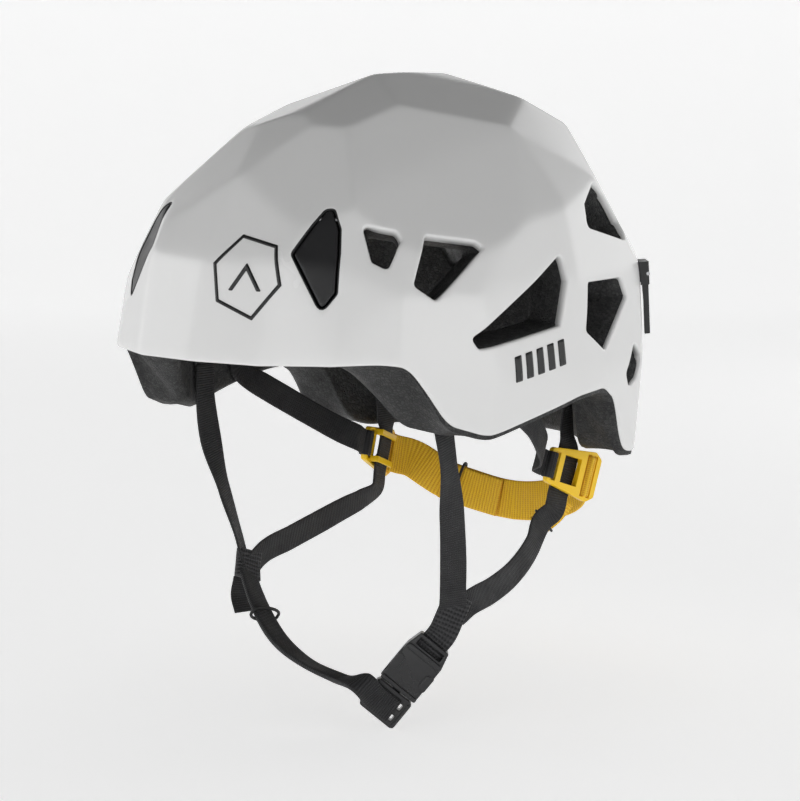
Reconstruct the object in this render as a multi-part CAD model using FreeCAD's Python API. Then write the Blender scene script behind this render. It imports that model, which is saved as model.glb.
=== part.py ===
import FreeCAD, Part
import math
import os

# Climbing helmet with harness. Millimetres, +Z up, forehead towards -Y, the wearer's left is +X.
# The origin is the middle of the head opening at the level of the front brim.

# Driving dimensions
skinScale = 0.99              # inside of the moulded skin, as a share of the outside
skinCentre = (0, 0, 30)       # everything that follows the skin is scaled from here
cavityHalfWidth = 86
cavityHalfLength = 107
cavityCentreY = 1
cavitySides = 32
webWidth = 13                 # black webbing
webThick = 1.4
napeWidth = 20                # yellow webbing
napeThick = 1.6
ribbonStep = 3                # longest straight stretch of a strap
clipGap = 0.5                 # running gap round a moving clip
clipPlate = 0.975             # inner face of a front clip, as a share of the skin
socketFloor = 0.945
pinRadius = 0.9
pinGap = 0.08
buckleWidth = 20
buckleThick = 8
femaleLength = 28
maleLength = 15.5
dividerThick = 3

# Corner points of the faceted skin on the midline, then on the wearer's left
midlineCorners = [
    (0, -2, 130.5), (0, 48, 129.5), (0, -67, 108.5), (0, -99, 83), (0, -122, 47), (0, -131, 4),
    (0, -125, -64), (0, 97, 108), (0, 122, 76), (0, 134, 32), (0, 134, -10), (0, 126, -64)]
leftCorners = [
    # crown and forehead
    (21, -66, 107.5), (17, -93, 87.5), (31, -29, 120.5), (64, 11, 105.5), (37, 58, 118.5), (42, 90, 105),
    # shoulder line, front to back
    (47, -88, 83), (55, -88, 75.5), (71, -74, 72), (87, -50, 65.5), (94, -25, 62.5), (93.5, 19, 68),
    (80, 62, 80),
    # middle of the walls
    (40, -114, 50), (63, -101, 46), (84, -87, 34), (100, -52, 31), (102, -26, 36), (104, 14, 36.5),
    (93, 80, 40), (70, 107, 40), (38, 126, 36),
    # brim and widest line
    (36, -127, 4), (66, -112, 5), (86, -91, 5), (104, -45, -4), (107, 0, -6), (106, 36, -8),
    (99, 75, -4), (76, 108, -4), (40, 128, -6),
    # below the trim line
    (34, -119, -64), (62, -106, -64), (84, -85, -64), (100, -45, -64), (103, 0, -64), (102, 35, -64),
    (96, 70, -64), (74, 102, -64), (38, 120, -64)]

# Side view of the lower edge, brim to nape, as (y, z)
skinEdge = [
    (-150, 3), (-96, 4.5), (-86, 2.5), (-79, -6), (-66, -24), (-48, -30), (-38, -28.5), (15, -17.5),
    (36, -15.5), (49, -23), (53, -34), (60, -47), (68, -50), (90, -48.5), (150, -48)]
foamEdge = [
    (-150, 5), (-96, 5.5), (-86, 1.5), (-79, -7.5), (-67, -25.5), (-48, -31.5), (-38, -30), (15, -19),
    (36, -17), (48, -24), (52, -35), (59, -48), (68, -51.5), (90, -50), (150, -49.5)]

# Outer corners of the vents on the wearer's left
ventCorners = {
    "temple_front": [(64, -90, 64), (75, -79, 62), (77, -78, 58), (78, -89, 45), (72, -93, 48.5)],
    "temple_rear": [(82, -67, 60), (92, -44, 56), (94, -42, 53), (91, -72, 31), (85, -80, 38)],
    "side": [(99.5, 7, 48), (103, 7, 36), (106, 0, 16), (101, -54, 9), (99, -57, 14)],
    "rear_side": [(103, 25, 34), (98, 60, 34), (98, 64, 25), (106, 36, 2), (106, 20, 12)],
    "rear_upper": [(82, 57, 78), (90, 41, 69), (95, 37, 59), (90, 71, 51), (84, 77, 60)],
    "rear_low": [(99, 67, 3), (97, 74, -4), (99, 69, -14), (101, 62, -18), (102, 58, -11)],
    "back": [(30, 124, 62), (52, 113, 58), (44, 123, 34), (24, 131, 28)],
}

# Heights of the head cavity with the size there as a share of its base size
cavityRings = [(-80, 1.0), (0, 1.0), (26, 0.975), (50, 0.89), (72, 0.74), (90, 0.52), (101, 0.28), (104, 0.12)]


def vec(xyz):
    return FreeCAD.Vector(*xyz)


def towards(point, scale):
    centre = vec(skinCentre)
    return centre + (vec(point) - centre) * scale


def solidFrom(faces):
    solid = Part.Solid(Part.Shell(faces))
    if solid.Volume < 0:
        solid.reverse()
    return solid


def polygonFace(points):
    return Part.Face(Part.makePolygon(list(points) + [points[0]]))


def mirrored(shape):
    return shape.mirror(vec((0, 0, 0)), vec((1, 0, 0)))


def placed(shape, origin, sideways, upwards):
    """Move a shape from local x, y, z to sideways, upwards and their cross product at origin."""
    turn = FreeCAD.Rotation(vec(sideways), vec(upwards), vec((0, 0, 0)), "XYZ")
    shape.Placement = FreeCAD.Placement(vec(origin), turn)
    return shape


def block(x, y, z):
    return Part.makeBox(x[1] - x[0], y[1] - y[0], z[1] - z[0], vec((x[0], y[0], z[0])))


def outlinePrism(outline, low, high):
    face = polygonFace([vec((x, y, low)) for x, y in outline])
    return face.extrude(vec((0, 0, high - low)))


def grown(outline, amount):
    """Offset a convex counter-clockwise outline outwards."""
    edges = []
    count = len(outline)
    for i in range(count):
        (ax, ay), (bx, by) = outline[i], outline[(i + 1) % count]
        length = math.hypot(bx - ax, by - ay)
        nx, ny = (by - ay) / length, (ax - bx) / length
        edges.append((nx, ny, nx * ax + ny * ay + amount))
    corners = []
    for i in range(count):
        a, b, c = edges[i - 1]
        d, e, f = edges[i]
        bottom = a * e - b * d
        corners.append(((c * e - b * f) / bottom, (a * f - c * d) / bottom))
    return corners


def hullFaces(points):
    """Index lists of the flat faces of the convex hull."""
    places = [vec(p) for p in points]
    count = len(places)
    found = {}
    for i in range(count):
        for j in range(i + 1, count):
            for k in range(j + 1, count):
                normal = (places[j] - places[i]).cross(places[k] - places[i])
                if normal.Length < 1e-6:
                    continue
                normal.normalize()
                level = normal.dot(places[i])
                above = below = False
                flat = []
                for m in range(count):
                    gap = normal.dot(places[m]) - level
                    if gap > 1e-6:
                        above = True
                    elif gap < -1e-6:
                        below = True
                    else:
                        flat.append(m)
                    if above and below:
                        break
                if not (above and below):
                    found[tuple(flat)] = normal if below else -normal
    return [aroundFace(places, flat, normal) for flat, normal in found.items()]


def aroundFace(places, flat, normal):
    middle = vec((0, 0, 0))
    for m in flat:
        middle += places[m]
    middle = middle / len(flat)
    first = (places[flat[0]] - middle).normalize()
    second = normal.cross(first)
    return sorted(flat, key=lambda m: math.atan2((places[m] - middle).dot(second), (places[m] - middle).dot(first)))


skinCorners = midlineCorners + leftCorners + [(-x, y, z) for x, y, z in leftCorners]
skinFaces = hullFaces(skinCorners)


def skinSolid(scale):
    places = [towards(corner, scale) for corner in skinCorners]
    return solidFrom([polygonFace([places[m] for m in face]) for face in skinFaces])


def skinLayer(outer, inner):
    return skinSolid(outer).cut(skinSolid(inner))


def edgeTrim(edge):
    """Everything below the lower edge of the shell, as one block."""
    outline = [(150, -120), (-150, -120)] + edge
    face = polygonFace([vec((-150, y, z)) for y, z in outline])
    return face.extrude(vec((300, 0, 0)))


def ventTunnel(corners, low=0.55, high=1.2):
    """A tapered tunnel through the wall, whose sides all run to the skin centre."""
    inner = [towards(corner, low) for corner in corners]
    outer = [towards(corner, high) for corner in corners]
    faces = []
    count = len(corners)
    for i in range(count):
        j = (i + 1) % count
        faces.append(polygonFace([inner[i], inner[j], outer[j], outer[i]]))
    for ring in (inner, outer):
        middle = vec((0, 0, 0))
        for place in ring:
            middle += place
        middle = middle / count
        for i in range(count):
            faces.append(polygonFace([ring[i], ring[(i + 1) % count], middle]))
    return solidFrom(faces)


def headDome(scale):
    """The head cavity, or the same form a little smaller."""
    rings = []
    for height, share in cavityRings:
        ring = []
        for i in range(cavitySides):
            turn = 2 * math.pi * i / cavitySides
            x = cavityHalfWidth * share * scale * math.cos(turn)
            y = cavityCentreY + cavityHalfLength * share * scale * math.sin(turn)
            ring.append(vec((x, y, height * scale)))
        rings.append(ring)
    faces = [polygonFace(rings[0]), polygonFace(rings[-1])]
    for lower, upper in zip(rings, rings[1:]):
        for i in range(cavitySides):
            j = (i + 1) % cavitySides
            faces.append(polygonFace([lower[i], lower[j], upper[j], upper[i]]))
    return solidFrom(faces)


def shortSteps(stations):
    """Add stations in between, so that a twisted stretch of strap keeps its thickness."""
    closer = [stations[0]]
    for (start, startSide), (stop, stopSide) in zip(stations, stations[1:]):
        run = vec(stop) - vec(start)
        turn = vec(stopSide).normalize() - vec(startSide).normalize()
        count = max(1, round(run.Length / ribbonStep))
        for i in range(1, count + 1):
            centre = vec(start) + run * (i / count)
            across = vec(startSide).normalize() + turn * (i / count)
            closer.append((tuple(centre), tuple(across)))
    return closer


def ribbon(stations, width, thick):
    """A flat strap through stations of (centre, width direction)."""
    stations = shortSteps(stations)
    centres = [vec(centre) for centre, across in stations]
    sections = []
    for i, (centre, across) in enumerate(stations):
        before = centres[max(i - 1, 0)]
        after = centres[min(i + 1, len(centres) - 1)]
        along = (after - before).normalize()
        side = vec(across)
        side = (side - along * side.dot(along)).normalize()
        face = along.cross(side)
        a, b = side * (width / 2), face * (thick / 2)
        sections.append([centres[i] + a + b, centres[i] - a + b, centres[i] - a - b, centres[i] + a - b])
    faces = [polygonFace(sections[0]), polygonFace(sections[-1])]
    for one, two in zip(sections, sections[1:]):
        for k in range(4):
            m = (k + 1) % 4
            faces.append(polygonFace([one[k], one[m], two[m]]))
            faces.append(polygonFace([one[k], two[m], two[k]]))
    return solidFrom(faces)


def keeperRing(centre, along, across, width, thick, wall, length):
    """A flat rubber loop round webbing of the given width and thickness."""
    outer = block((-width / 2 - wall, width / 2 + wall), (-thick / 2 - wall, thick / 2 + wall), (0, length))
    inner = block((-width / 2, width / 2), (-thick / 2, thick / 2), (-1, length + 1))
    ring = outer.makeFillet(wall * 0.8, [e for e in outer.Edges if e.BoundBox.ZLength > length * 0.9]).cut(inner)
    side = vec(across)
    run = vec(along)
    run.normalize()
    side = (side - run * side.dot(run)).normalize()
    turn = FreeCAD.Rotation(side, run.cross(side), run, "ZXY")
    ring.Placement = FreeCAD.Placement(vec(centre) - run * (length / 2), turn)
    return ring


nodes = {}


def addPair(name, left):
    nodes[name + "_left"] = left
    nodes[name + "_right"] = mirrored(left)


def addPart(name, shape):
    nodes[name] = shape


# Front lamp clips: a diamond plate flush with the skin, hinged near its top corner
frontClipAt = (54, -104, 50)
frontClipSide = (0.842, 0.54, 0)
frontClipUp = (-0.195, 0.305, 0.932)
frontClipOutline = [(-13, 1.5), (0, -24), (6, -16), (6.5, 2), (6, 13), (2.5, 22.5), (-0.5, 22.5)]
frontHingeUp = 18.5
frontHingeDepth = 1.55
frontPinHalf = 7


def frontClipPrism(amount, low=-25, high=25):
    return placed(outlinePrism(grown(frontClipOutline, amount), low, high), frontClipAt, frontClipSide, frontClipUp)


def frontSkinDepth():
    """How far the skin lies from the clip's local plane at the hinge."""
    probe = placed(block((1, 1.4), (frontHingeUp, frontHingeUp + 0.4), (-20, 20)), frontClipAt, frontClipSide,
                   frontClipUp)
    inside = probe.common(skinSolid(1.0))
    normal = vec(frontClipSide).cross(vec(frontClipUp)).normalize()
    return max(normal.dot(v.Point - vec(frontClipAt)) for v in inside.Vertexes)


def frontHingePin(radius, half):
    depth = frontSkinDepth() - frontHingeDepth
    pin = Part.makeCylinder(radius, 2 * half, vec((-half + 1.5, frontHingeUp, depth)), vec((1, 0, 0)))
    return placed(pin, frontClipAt, frontClipSide, frontClipUp)


def makeFrontClips():
    plate = frontClipPrism(0).common(skinLayer(1.0, clipPlate))
    plate = plate.cut(frontHingePin(pinRadius + pinGap, 20))
    pocket = frontClipPrism(clipGap + 1).common(skinLayer(0.9995, socketFloor - 0.012))
    room = frontClipPrism(clipGap).common(skinLayer(1.01, socketFloor))
    pin = frontHingePin(pinRadius, frontPinHalf).common(frontClipPrism(clipGap + 1))
    tray = pocket.cut(room).cut(pin)
    addPair("front_clip", plate)
    addPair("front_clip_socket", tray)
    addPair("front_clip_pin", pin)


# Rear lamp clips: a tongue that hangs from two lugs and stands a little off the skin
rearClipAt = (88, 86, 20)
rearClipSide = (-0.72, 0.69, 0)
rearClipUp = (-0.04, -0.05, 1)
rearTongue = [(-4, -15), (4, -15), (6, -11), (6, 16), (-6, 16), (-6, -11)]
rearHingeUp = 14.2
rearTongueInner = 1.009
rearTongueOuter = 1.031


def rearPrism(outline):
    return placed(outlinePrism(outline, -20, 25), rearClipAt, rearClipSide, rearClipUp)


def rearSkinDepth():
    probe = rearPrism([(-0.2, rearHingeUp), (0.2, rearHingeUp), (0.2, rearHingeUp + 0.4), (-0.2, rearHingeUp + 0.4)])
    inside = probe.common(skinSolid((rearTongueInner + rearTongueOuter) / 2))
    normal = vec(rearClipSide).cross(vec(rearClipUp)).normalize()
    return max(normal.dot(v.Point - vec(rearClipAt)) for v in inside.Vertexes)


def rearHingePin(radius, half):
    pin = Part.makeCylinder(radius, 2 * half, vec((-half, rearHingeUp, rearSkinDepth())), vec((1, 0, 0)))
    return placed(pin, rearClipAt, rearClipSide, rearClipUp)


def makeRearClips():
    pin = rearHingePin(pinRadius, 9)
    tongue = rearPrism(rearTongue).common(skinLayer(rearTongueOuter, rearTongueInner))
    tongue = tongue.cut(rearHingePin(pinRadius + pinGap, 20))
    lugBand = skinLayer(rearTongueOuter + 0.004, 1.0005)
    lugs = []
    for inner, outer in ((6.4, 9), (-9, -6.4)):
        lug = rearPrism([(inner, 9), (outer, 9), (outer, 18), (inner, 18)])
        lugs.append(lug.common(lugBand))
    bridge = rearPrism([(-9, 16.8), (9, 16.8), (9, 20), (-9, 20)]).common(lugBand)
    base = bridge.fuse(lugs).removeSplitter().cut(pin)
    addPair("rear_clip", tongue)
    addPair("rear_clip_base", base)
    addPair("rear_clip_pin", pin)


# Strap anchors sit in pockets in the foam just above the strap ends, as (x, y, inward turn)
anchorPlaces = {"front": (76.6, -45.8, 16), "temple": (85.4, -11, 4), "rear": (60.6, 74.3, -38.5)}
anchorLow = -10
anchorHigh = 2


def anchorBlock(place, grow):
    x, y, turn = place
    angle = math.radians(turn)
    shape = block((-2.2 - grow, 4.5 + grow), (-8 - grow, 8 + grow), (anchorLow - grow, anchorHigh + grow))
    return placed(shape, (x, y, 0), (math.cos(angle), -math.sin(angle), 0), (math.sin(angle), math.cos(angle), 0))


def makeAnchors():
    for name, place in anchorPlaces.items():
        addPair(name + "_strap_anchor", anchorBlock(place, 0))


# Shell and liner
def ventCuts():
    cuts = [ventTunnel(corners) for corners in ventCorners.values()]
    return cuts + [mirrored(cut) for cut in cuts]


def makeShell():
    clipHole = frontClipPrism(clipGap + 1)
    cuts = [edgeTrim(skinEdge)] + ventCuts() + [clipHole, mirrored(clipHole)]
    addPart("outer_shell", skinLayer(1.0, skinScale).cut(cuts))


def makeFoam():
    pocket = frontClipPrism(clipGap + 1).common(skinLayer(1.0, socketFloor - 0.012))
    cuts = [edgeTrim(foamEdge), headDome(1.0)] + ventCuts() + [pocket, mirrored(pocket)]
    for place in anchorPlaces.values():
        anchor = anchorBlock(place, 0.0)
        cuts += [anchor, mirrored(anchor)]
    addPart("foam_liner", skinSolid(skinScale).cut(cuts))


# Pads lie on the cavity wall, held by hook dots
def padLayer(outer, inner, cutter):
    return headDome(outer).cut(headDome(inner)).common(cutter)


padFace = 0.985
padInner = 0.93
padCutters = {
    "brow_pad": ((-46, 46), (-120, -40), (10, 32)),
    "crown_pad": ((-15, 15), (-42, 44), (60, 120)),
    "nape_pad": ((-34, 34), (60, 120), (-34, -12)),
}
sidePadCutter = ((50, 90), (6, 28), (-12, 6))


def makePads():
    dots = []
    for name, (x, y, z) in padCutters.items():
        addPart(name, padLayer(padFace, padInner, block(x, y, z)))
    addPair("side_pad", padLayer(padFace, padInner, block(*sidePadCutter)))
    for x, y, z in ((30, 0, 21), (0, 0, 21)):
        dots.append(block((x - 7, x + 7), (-120, -40), (z - 7, z + 7)))
    dots.append(block((-37, -23), (-120, -40), (14, 28)))
    dots.append(block((60, 90), (11, 23), (-9, 3)))
    dots.append(block((-90, -60), (11, 23), (-9, 3)))
    dots.append(block((-7, 7), (-34, -20), (60, 120)))
    dots.append(block((-7, 7), (22, 36), (60, 120)))
    dots.append(block((-28, -14), (60, 120), (-30, -16)))
    dots.append(block((14, 28), (60, 120), (-30, -16)))
    layer = headDome(0.999).cut(headDome(padFace + 0.001))
    addPart("pad_hook_dots", Part.makeCompound([layer.common(dot) for dot in dots]))


# Strap dividers behind and below the ears; local x runs back, y up, z outwards
dividerAt = (61.5, 70.2, -63)
dividerBack = (0.23, 0.92, -0.32)
dividerUp = (0.05, 0.32, 0.95)
dividerOutline = [(-16, -8.5), (11.5, -12.5), (16, -9.5), (16, 9.5), (11.5, 12.5), (-16, 8.5)]
templeBar = (-16, -13.6)
napeBar = (9.2, 10.8)
dividerHoles = [((-13.6, -10.6), (-7, 7)), ((-7.4, 3.4), (-6.8, 6.8)), ((6.8, 9.2), (-10.4, 10.4)),
                ((10.8, 13.2), (-10.4, 10.4))]
strapBehind = -3.9            # middle of the ear strap behind the divider plate
strapPass = -2.1              # and how far along the divider it crosses


def dividerPoint(x, y, z):
    frame = FreeCAD.Placement(vec(dividerAt), FreeCAD.Rotation(vec(dividerBack), vec(dividerUp), vec((0, 0, 0)), "XYZ"))
    place = frame.multVec(vec((x, y, z)))
    return (place.x, place.y, place.z)


def makeDividers():
    plate = outlinePrism(dividerOutline, -dividerThick / 2, dividerThick / 2)
    upright = [e for e in plate.Edges if e.BoundBox.ZLength > dividerThick * 0.9]
    plate = plate.makeFillet(2.0, upright)
    for x, y in dividerHoles:
        plate = plate.cut(block(x, y, (-5, 5)))
    rails = []
    for low in (-8.5, 5.5):
        rise = (low, low + 3)
        rails.append(block((strapPass - 8.4, strapPass - 7.1), rise, (-6.3, -1.4)))
        rails.append(block((strapPass + 7.1, strapPass + 8.4), rise, (-6.3, -1.4)))
        rails.append(block((strapPass - 8.4, strapPass + 8.4), rise, (-6.3, -5.2)))
    plate = plate.fuse(rails).removeSplitter()
    addPair("strap_divider", placed(plate, dividerAt, dividerBack, dividerUp))


def loopAround(bar, half, thick):
    """Webbing folded round a divider bar that lies between x values bar[0] and bar[1]."""
    face = dividerThick / 2 + 0.12
    outer = block((bar[0] - 0.12 - thick, bar[1] + 0.12 + thick), (-half, half), (-face - thick, face + thick))
    inner = block((bar[0] - 0.12, bar[1] + 0.12), (-half - 1, half + 1), (-face, face))
    return outer.cut(inner)


def makeLoops():
    temple = loopAround(templeBar, webWidth / 2, webThick)
    addPair("temple_loop", placed(temple, dividerAt, dividerBack, dividerUp))
    turned = loopAround(napeBar, napeWidth / 2, 1.2)
    addPair("nape_loop", placed(turned, dividerAt, dividerBack, dividerUp))


# Harness webbing; each station is a centre and the direction of the width
frontStations = [
    ((73.5, -45.8, -10.2), (0.1, 1, 0)), ((73.5, -45.8, -22), (0.05, 1, 0)),
    ((74, -42, -45), (-0.1, 1, 0)), ((71, -35.5, -72), (0.35, 0.93, 0)),
    ((67, -29.5, -96), (0.5, 0.86, 0)), ((65.2, -27.4, -107), (0.5, 0.86, 0))]
templeStations = [
    ((83.4, -11.2, -10.2), (0.05, 1, 0)), ((83.2, -11.1, -15), (0.05, 1, 0)),
    ((82.4, -5.5, -20.5), (0, 0.97, 0.25)),
    ((80.5, 3, -25.5), (-0.15, 0.9, 0.45)), ((77.5, 16, -33), (-0.15, 0.65, 0.75)),
    ((71.5, 31, -42.5), (0, 0.45, 0.9)), ((64, 43, -50.5), (0, 0.35, 0.94))]
earTopStations = [
    ((58.2, 72, -10.2), (-0.62, 0.78, 0)), ((58, 71.8, -20), (-0.45, 0.89, 0)),
    ((57.2, 71.6, -45), (-0.15, 0.98, 0))]
earLeftStations = [
    ((54, 57, -86), (0.15, 0.85, -0.5)), ((55, 47, -97), (0, 0.68, -0.73)),
    ((58.5, 28, -106.5), (0.05, 0.4, -0.9)), ((61.5, 6, -112), (0.1, 0.15, -0.98)),
    ((63.5, -12, -113.5), (0.1, 0.1, -0.99))]
earRightStations = [
    ((-62, 47, -81.5), (-0.1, 0.6, -0.8)), ((-62, 26, -89), (-0.05, 0.4, -0.9)),
    ((-62.5, 4, -97), (-0.05, 0.4, -0.9)), ((-63.4, -17, -106), (-0.1, 0.4, -0.9))]
chinStations = [
    ((15, -50, -150.5), (-0.1, -0.97, 0.1)), ((-6, -49, -146.5), (-0.1, -0.97, 0.2)),
    ((-26, -44.5, -140), (0, -0.95, 0.1)), ((-48, -36, -126), (0.2, -0.9, 0)),
    ((-62.5, -29, -112), (0.3, -0.9, 0))]
chinTailStations = [
    ((-65.4, -27.6, -116), (0.3, 0.95, 0)), ((-66.5, -28.5, -125), (0.3, 0.95, 0)),
    ((-63, -29.5, -133), (0.3, 0.95, 0))]


def swapSides(station):
    (x, y, z), (ax, ay, az) = station
    return ((-x, y, z), (-ax, ay, az))


def makeStraps():
    addPair("front_strap", ribbon(frontStations, webWidth, webThick))
    approach = [(dividerPoint(-24, 0.6, 0.3), dividerUp), (dividerPoint(-18.6, 0, 0), dividerUp)]
    addPair("temple_strap", ribbon(templeStations + approach, webWidth, webThick))
    passing = [(dividerPoint(strapPass, y, strapBehind), dividerBack) for y in (9, -18)]
    left = earTopStations + passing + earLeftStations
    right = [swapSides(station) for station in earTopStations + passing] + earRightStations
    addPart("ear_strap_left", ribbon(left, webWidth, webThick))
    addPart("ear_strap_right", ribbon(right, webWidth, webThick))
    sleeve = [((63.9, -22, -113.5), (0.4, 0.6, -0.7)), ((61, -26, -121), (0.55, 0.5, -0.65)),
              (bucklePoint(0, -4.5, 0), buckleAcross), (bucklePoint(0, -0.3, 0), buckleAcross)]
    addPart("chin_sleeve_left", ribbon(sleeve, webWidth - 1, 3.2))
    ends = [(bucklePoint(5, 36.5, -5.6), buckleRun), (bucklePoint(-6, 36.5, -5.6), buckleRun),
            (bucklePoint(-13, 35, -8), (-0.35, -0.8, -0.45))]
    addPart("chin_strap_right", ribbon(ends + chinStations, webWidth - 1, 2.8))
    addPart("chin_tail_right", ribbon(chinTailStations, webWidth - 1, webThick))


# Nape strap between the dividers, its tails and the keeper rings
napeStart = [(11, 0, -5.4), (18, 0, -9)]
napeArc = [(40, 98, -80), (25, 103, -84.5), (8, 105, -87.5)]
napeTilt = (0.0, 0.12, 0.99)
tailLift = 1.9                # the right tail lies on the inner face of the nape strap
tailStations = [(5, -13.6, -7), (2.5, -22, -10), (-2, -30, -14)]


def makeNape():
    left = [(dividerPoint(*local), dividerUp) for local in napeStart]
    left += [(centre, napeTilt) for centre in napeArc]
    right = [swapSides(station) for station in reversed(left)]
    addPart("nape_strap", ribbon(left + right, napeWidth, napeThick))
    laid = []
    for (x, y, z), across in [swapSides(station) for station in left[2:]]:
        laid.append(((x * 0.985, y - tailLift, z), across))
    addPart("nape_tail_right", ribbon(laid, napeWidth, webThick))
    tail = [(dividerPoint(*local), dividerBack) for local in tailStations]
    addPart("nape_tail_left", ribbon(tail, napeWidth - 5, webThick))
    run = vec(napeArc[1]) - vec(napeArc[0])
    middle = vec(napeArc[1]) - run * 0.45
    middle.y -= tailLift / 2
    ring = keeperRing(middle, run, napeTilt, napeWidth + 1.2, napeThick + webThick + 2.0, 1.2, 2.4)
    addPart("nape_keeper_ring", mirrored(ring))
    low, high = vec(dividerPoint(*tailStations[2])), vec(dividerPoint(*tailStations[1]))
    tailRing = keeperRing(low + (high - low) * 0.5, low - high, dividerBack, napeWidth - 4.4, webThick + 0.8, 1.1, 2.4)
    addPart("tail_keeper_ring", tailRing)
    start, stop = vec(chinStations[2][0]), vec(chinStations[3][0])
    chinRing = keeperRing(start + (stop - start) * 0.72, stop - start, (-0.1, 0.93, -0.05), webWidth + 0.6, 5.2, 1.3, 3)
    addPart("chin_keeper_ring", chinRing)


# Side-release buckle; local x across, y from the sleeve towards the free end, z outwards
buckleAt = (57, -30, -131)
buckleAcross = (0.621, 0.463, -0.628)
buckleRun = (-0.47, -0.42, -0.775)
prongPivot = (6.4, 27)          # each prong bends about its round root
prongRoot = 1.2


def bucklePoint(x, y, z):
    frame = FreeCAD.Placement(vec(buckleAt), FreeCAD.Rotation(vec(buckleAcross), vec(buckleRun), vec((0, 0, 0)), "XYZ"))
    place = frame.multVec(vec((x, y, z)))
    return (place.x, place.y, place.z)


def inBuckle(shape):
    return placed(shape, buckleAt, buckleAcross, buckleRun)


def makeBuckle():
    half = buckleWidth / 2
    body = outlinePrism([(-8, 0), (8, 0), (half, 8), (half, femaleLength), (-half, femaleLength), (-half, 8)],
                        -buckleThick / 2, buckleThick / 2)
    body = body.cut(block((-6.8, 6.8), (2.2, 5.4), (-6, 6)))
    body = body.cut(block((-8, 8), (8, femaleLength + 1), (-2.6, 2.6)))
    body = body.cut(block((-half - 1, half + 1), (11, femaleLength + 1), (-2.6, 2.6)))
    addPart("buckle_female", inBuckle(body))
    start = femaleLength + 0.6
    male = block((-half, half), (start, start + maleLength), (-3.4, 3.4))
    male = male.makeFillet(2.0, [e for e in male.Edges if e.BoundBox.ZLength > 6])
    for low in (32, 38.3):
        male = male.cut(block((-7, 7), (low, low + 3), (-5, 5)))
    tongue = block((-2, 2), (10, start + 1), (-2.2, 2.2))
    addPart("buckle_male", inBuckle(male.fuse(tongue).removeSplitter()))
    pivotX, pivotY = prongPivot
    inner, outer = pivotX - prongRoot, pivotX + prongRoot
    outline = [(inner, 10.5), (7, 10.5), (9.6, 14), (9.6, 19), (outer, 19.6), (outer, pivotY), (inner, pivotY)]
    root = Part.makeCylinder(prongRoot, 4.4, vec((pivotX, pivotY, -2.2)))
    prong = outlinePrism(outline, -2.2, 2.2).fuse(root).removeSplitter()
    addPart("buckle_prong_rear", inBuckle(prong.copy()))
    addPart("buckle_prong_front", inBuckle(prong.mirror(vec((0, 0, 0)), vec((1, 0, 0)))))


makeFrontClips()
makeRearClips()
makeAnchors()
makeShell()
makeFoam()
makePads()
makeDividers()
makeLoops()
makeStraps()
makeNape()
makeBuckle()

os.makedirs("parts", exist_ok=True)
for name, shape in nodes.items():
    print(name, "valid" if shape.isValid() else "NOT VALID", len(shape.Solids), round(shape.Volume / 1000, 2))
    shape.exportStep("parts/" + name + ".step")
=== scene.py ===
import math

import bmesh
import bpy
import numpy as np
from mathutils import Matrix, Vector, kdtree
from mathutils.geometry import delaunay_2d_cdt


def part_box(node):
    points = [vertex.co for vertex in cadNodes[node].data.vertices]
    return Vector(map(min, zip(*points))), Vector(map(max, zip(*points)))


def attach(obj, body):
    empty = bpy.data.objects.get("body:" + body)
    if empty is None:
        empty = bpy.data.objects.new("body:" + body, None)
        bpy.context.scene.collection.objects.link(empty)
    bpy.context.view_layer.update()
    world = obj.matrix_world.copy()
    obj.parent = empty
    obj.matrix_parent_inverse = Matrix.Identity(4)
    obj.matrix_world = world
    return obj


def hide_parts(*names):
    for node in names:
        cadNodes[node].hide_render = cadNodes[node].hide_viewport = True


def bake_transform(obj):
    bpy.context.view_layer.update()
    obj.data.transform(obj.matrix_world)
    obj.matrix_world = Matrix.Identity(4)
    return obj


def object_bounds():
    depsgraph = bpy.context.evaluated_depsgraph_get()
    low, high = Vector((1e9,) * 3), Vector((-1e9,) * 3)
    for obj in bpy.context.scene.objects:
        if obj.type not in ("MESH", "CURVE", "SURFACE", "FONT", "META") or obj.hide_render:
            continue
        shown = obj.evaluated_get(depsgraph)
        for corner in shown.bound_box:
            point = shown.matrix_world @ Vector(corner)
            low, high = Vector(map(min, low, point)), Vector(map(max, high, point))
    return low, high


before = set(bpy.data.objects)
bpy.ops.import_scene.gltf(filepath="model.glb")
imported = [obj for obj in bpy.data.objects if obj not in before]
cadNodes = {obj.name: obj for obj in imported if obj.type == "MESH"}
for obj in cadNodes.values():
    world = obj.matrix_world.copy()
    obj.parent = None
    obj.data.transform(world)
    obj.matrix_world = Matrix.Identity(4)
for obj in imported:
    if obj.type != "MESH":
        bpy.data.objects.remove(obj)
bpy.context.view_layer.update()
mm = 0.001
headCentre = np.array((0.0, 0.0, 30.0)) * mm   # the skin, the vents and the cavity all run out from here
print("frame loaded:", len(cadNodes), "nodes")


# Meshes and placing

def newPiece(name, points, faces, material, body, replaced=()):
    mesh = bpy.data.meshes.new(name)
    mesh.from_pydata([tuple(p) for p in points], [], [tuple(f) for f in faces])
    tidy = bmesh.new()
    tidy.from_mesh(mesh)
    bmesh.ops.recalc_face_normals(tidy, faces=tidy.faces)
    tidy.to_mesh(mesh)
    tidy.free()
    mesh.shade_smooth()
    piece = bpy.data.objects.new(name, mesh)
    bpy.context.scene.collection.objects.link(piece)
    return finishPiece(piece, material, body, replaced)


def finishPiece(piece, material, body, replaced=()):
    piece.data.materials.clear()
    piece.data.materials.append(material)
    if body:
        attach(piece, body)
    if replaced:
        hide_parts(*replaced)
    return piece


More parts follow.
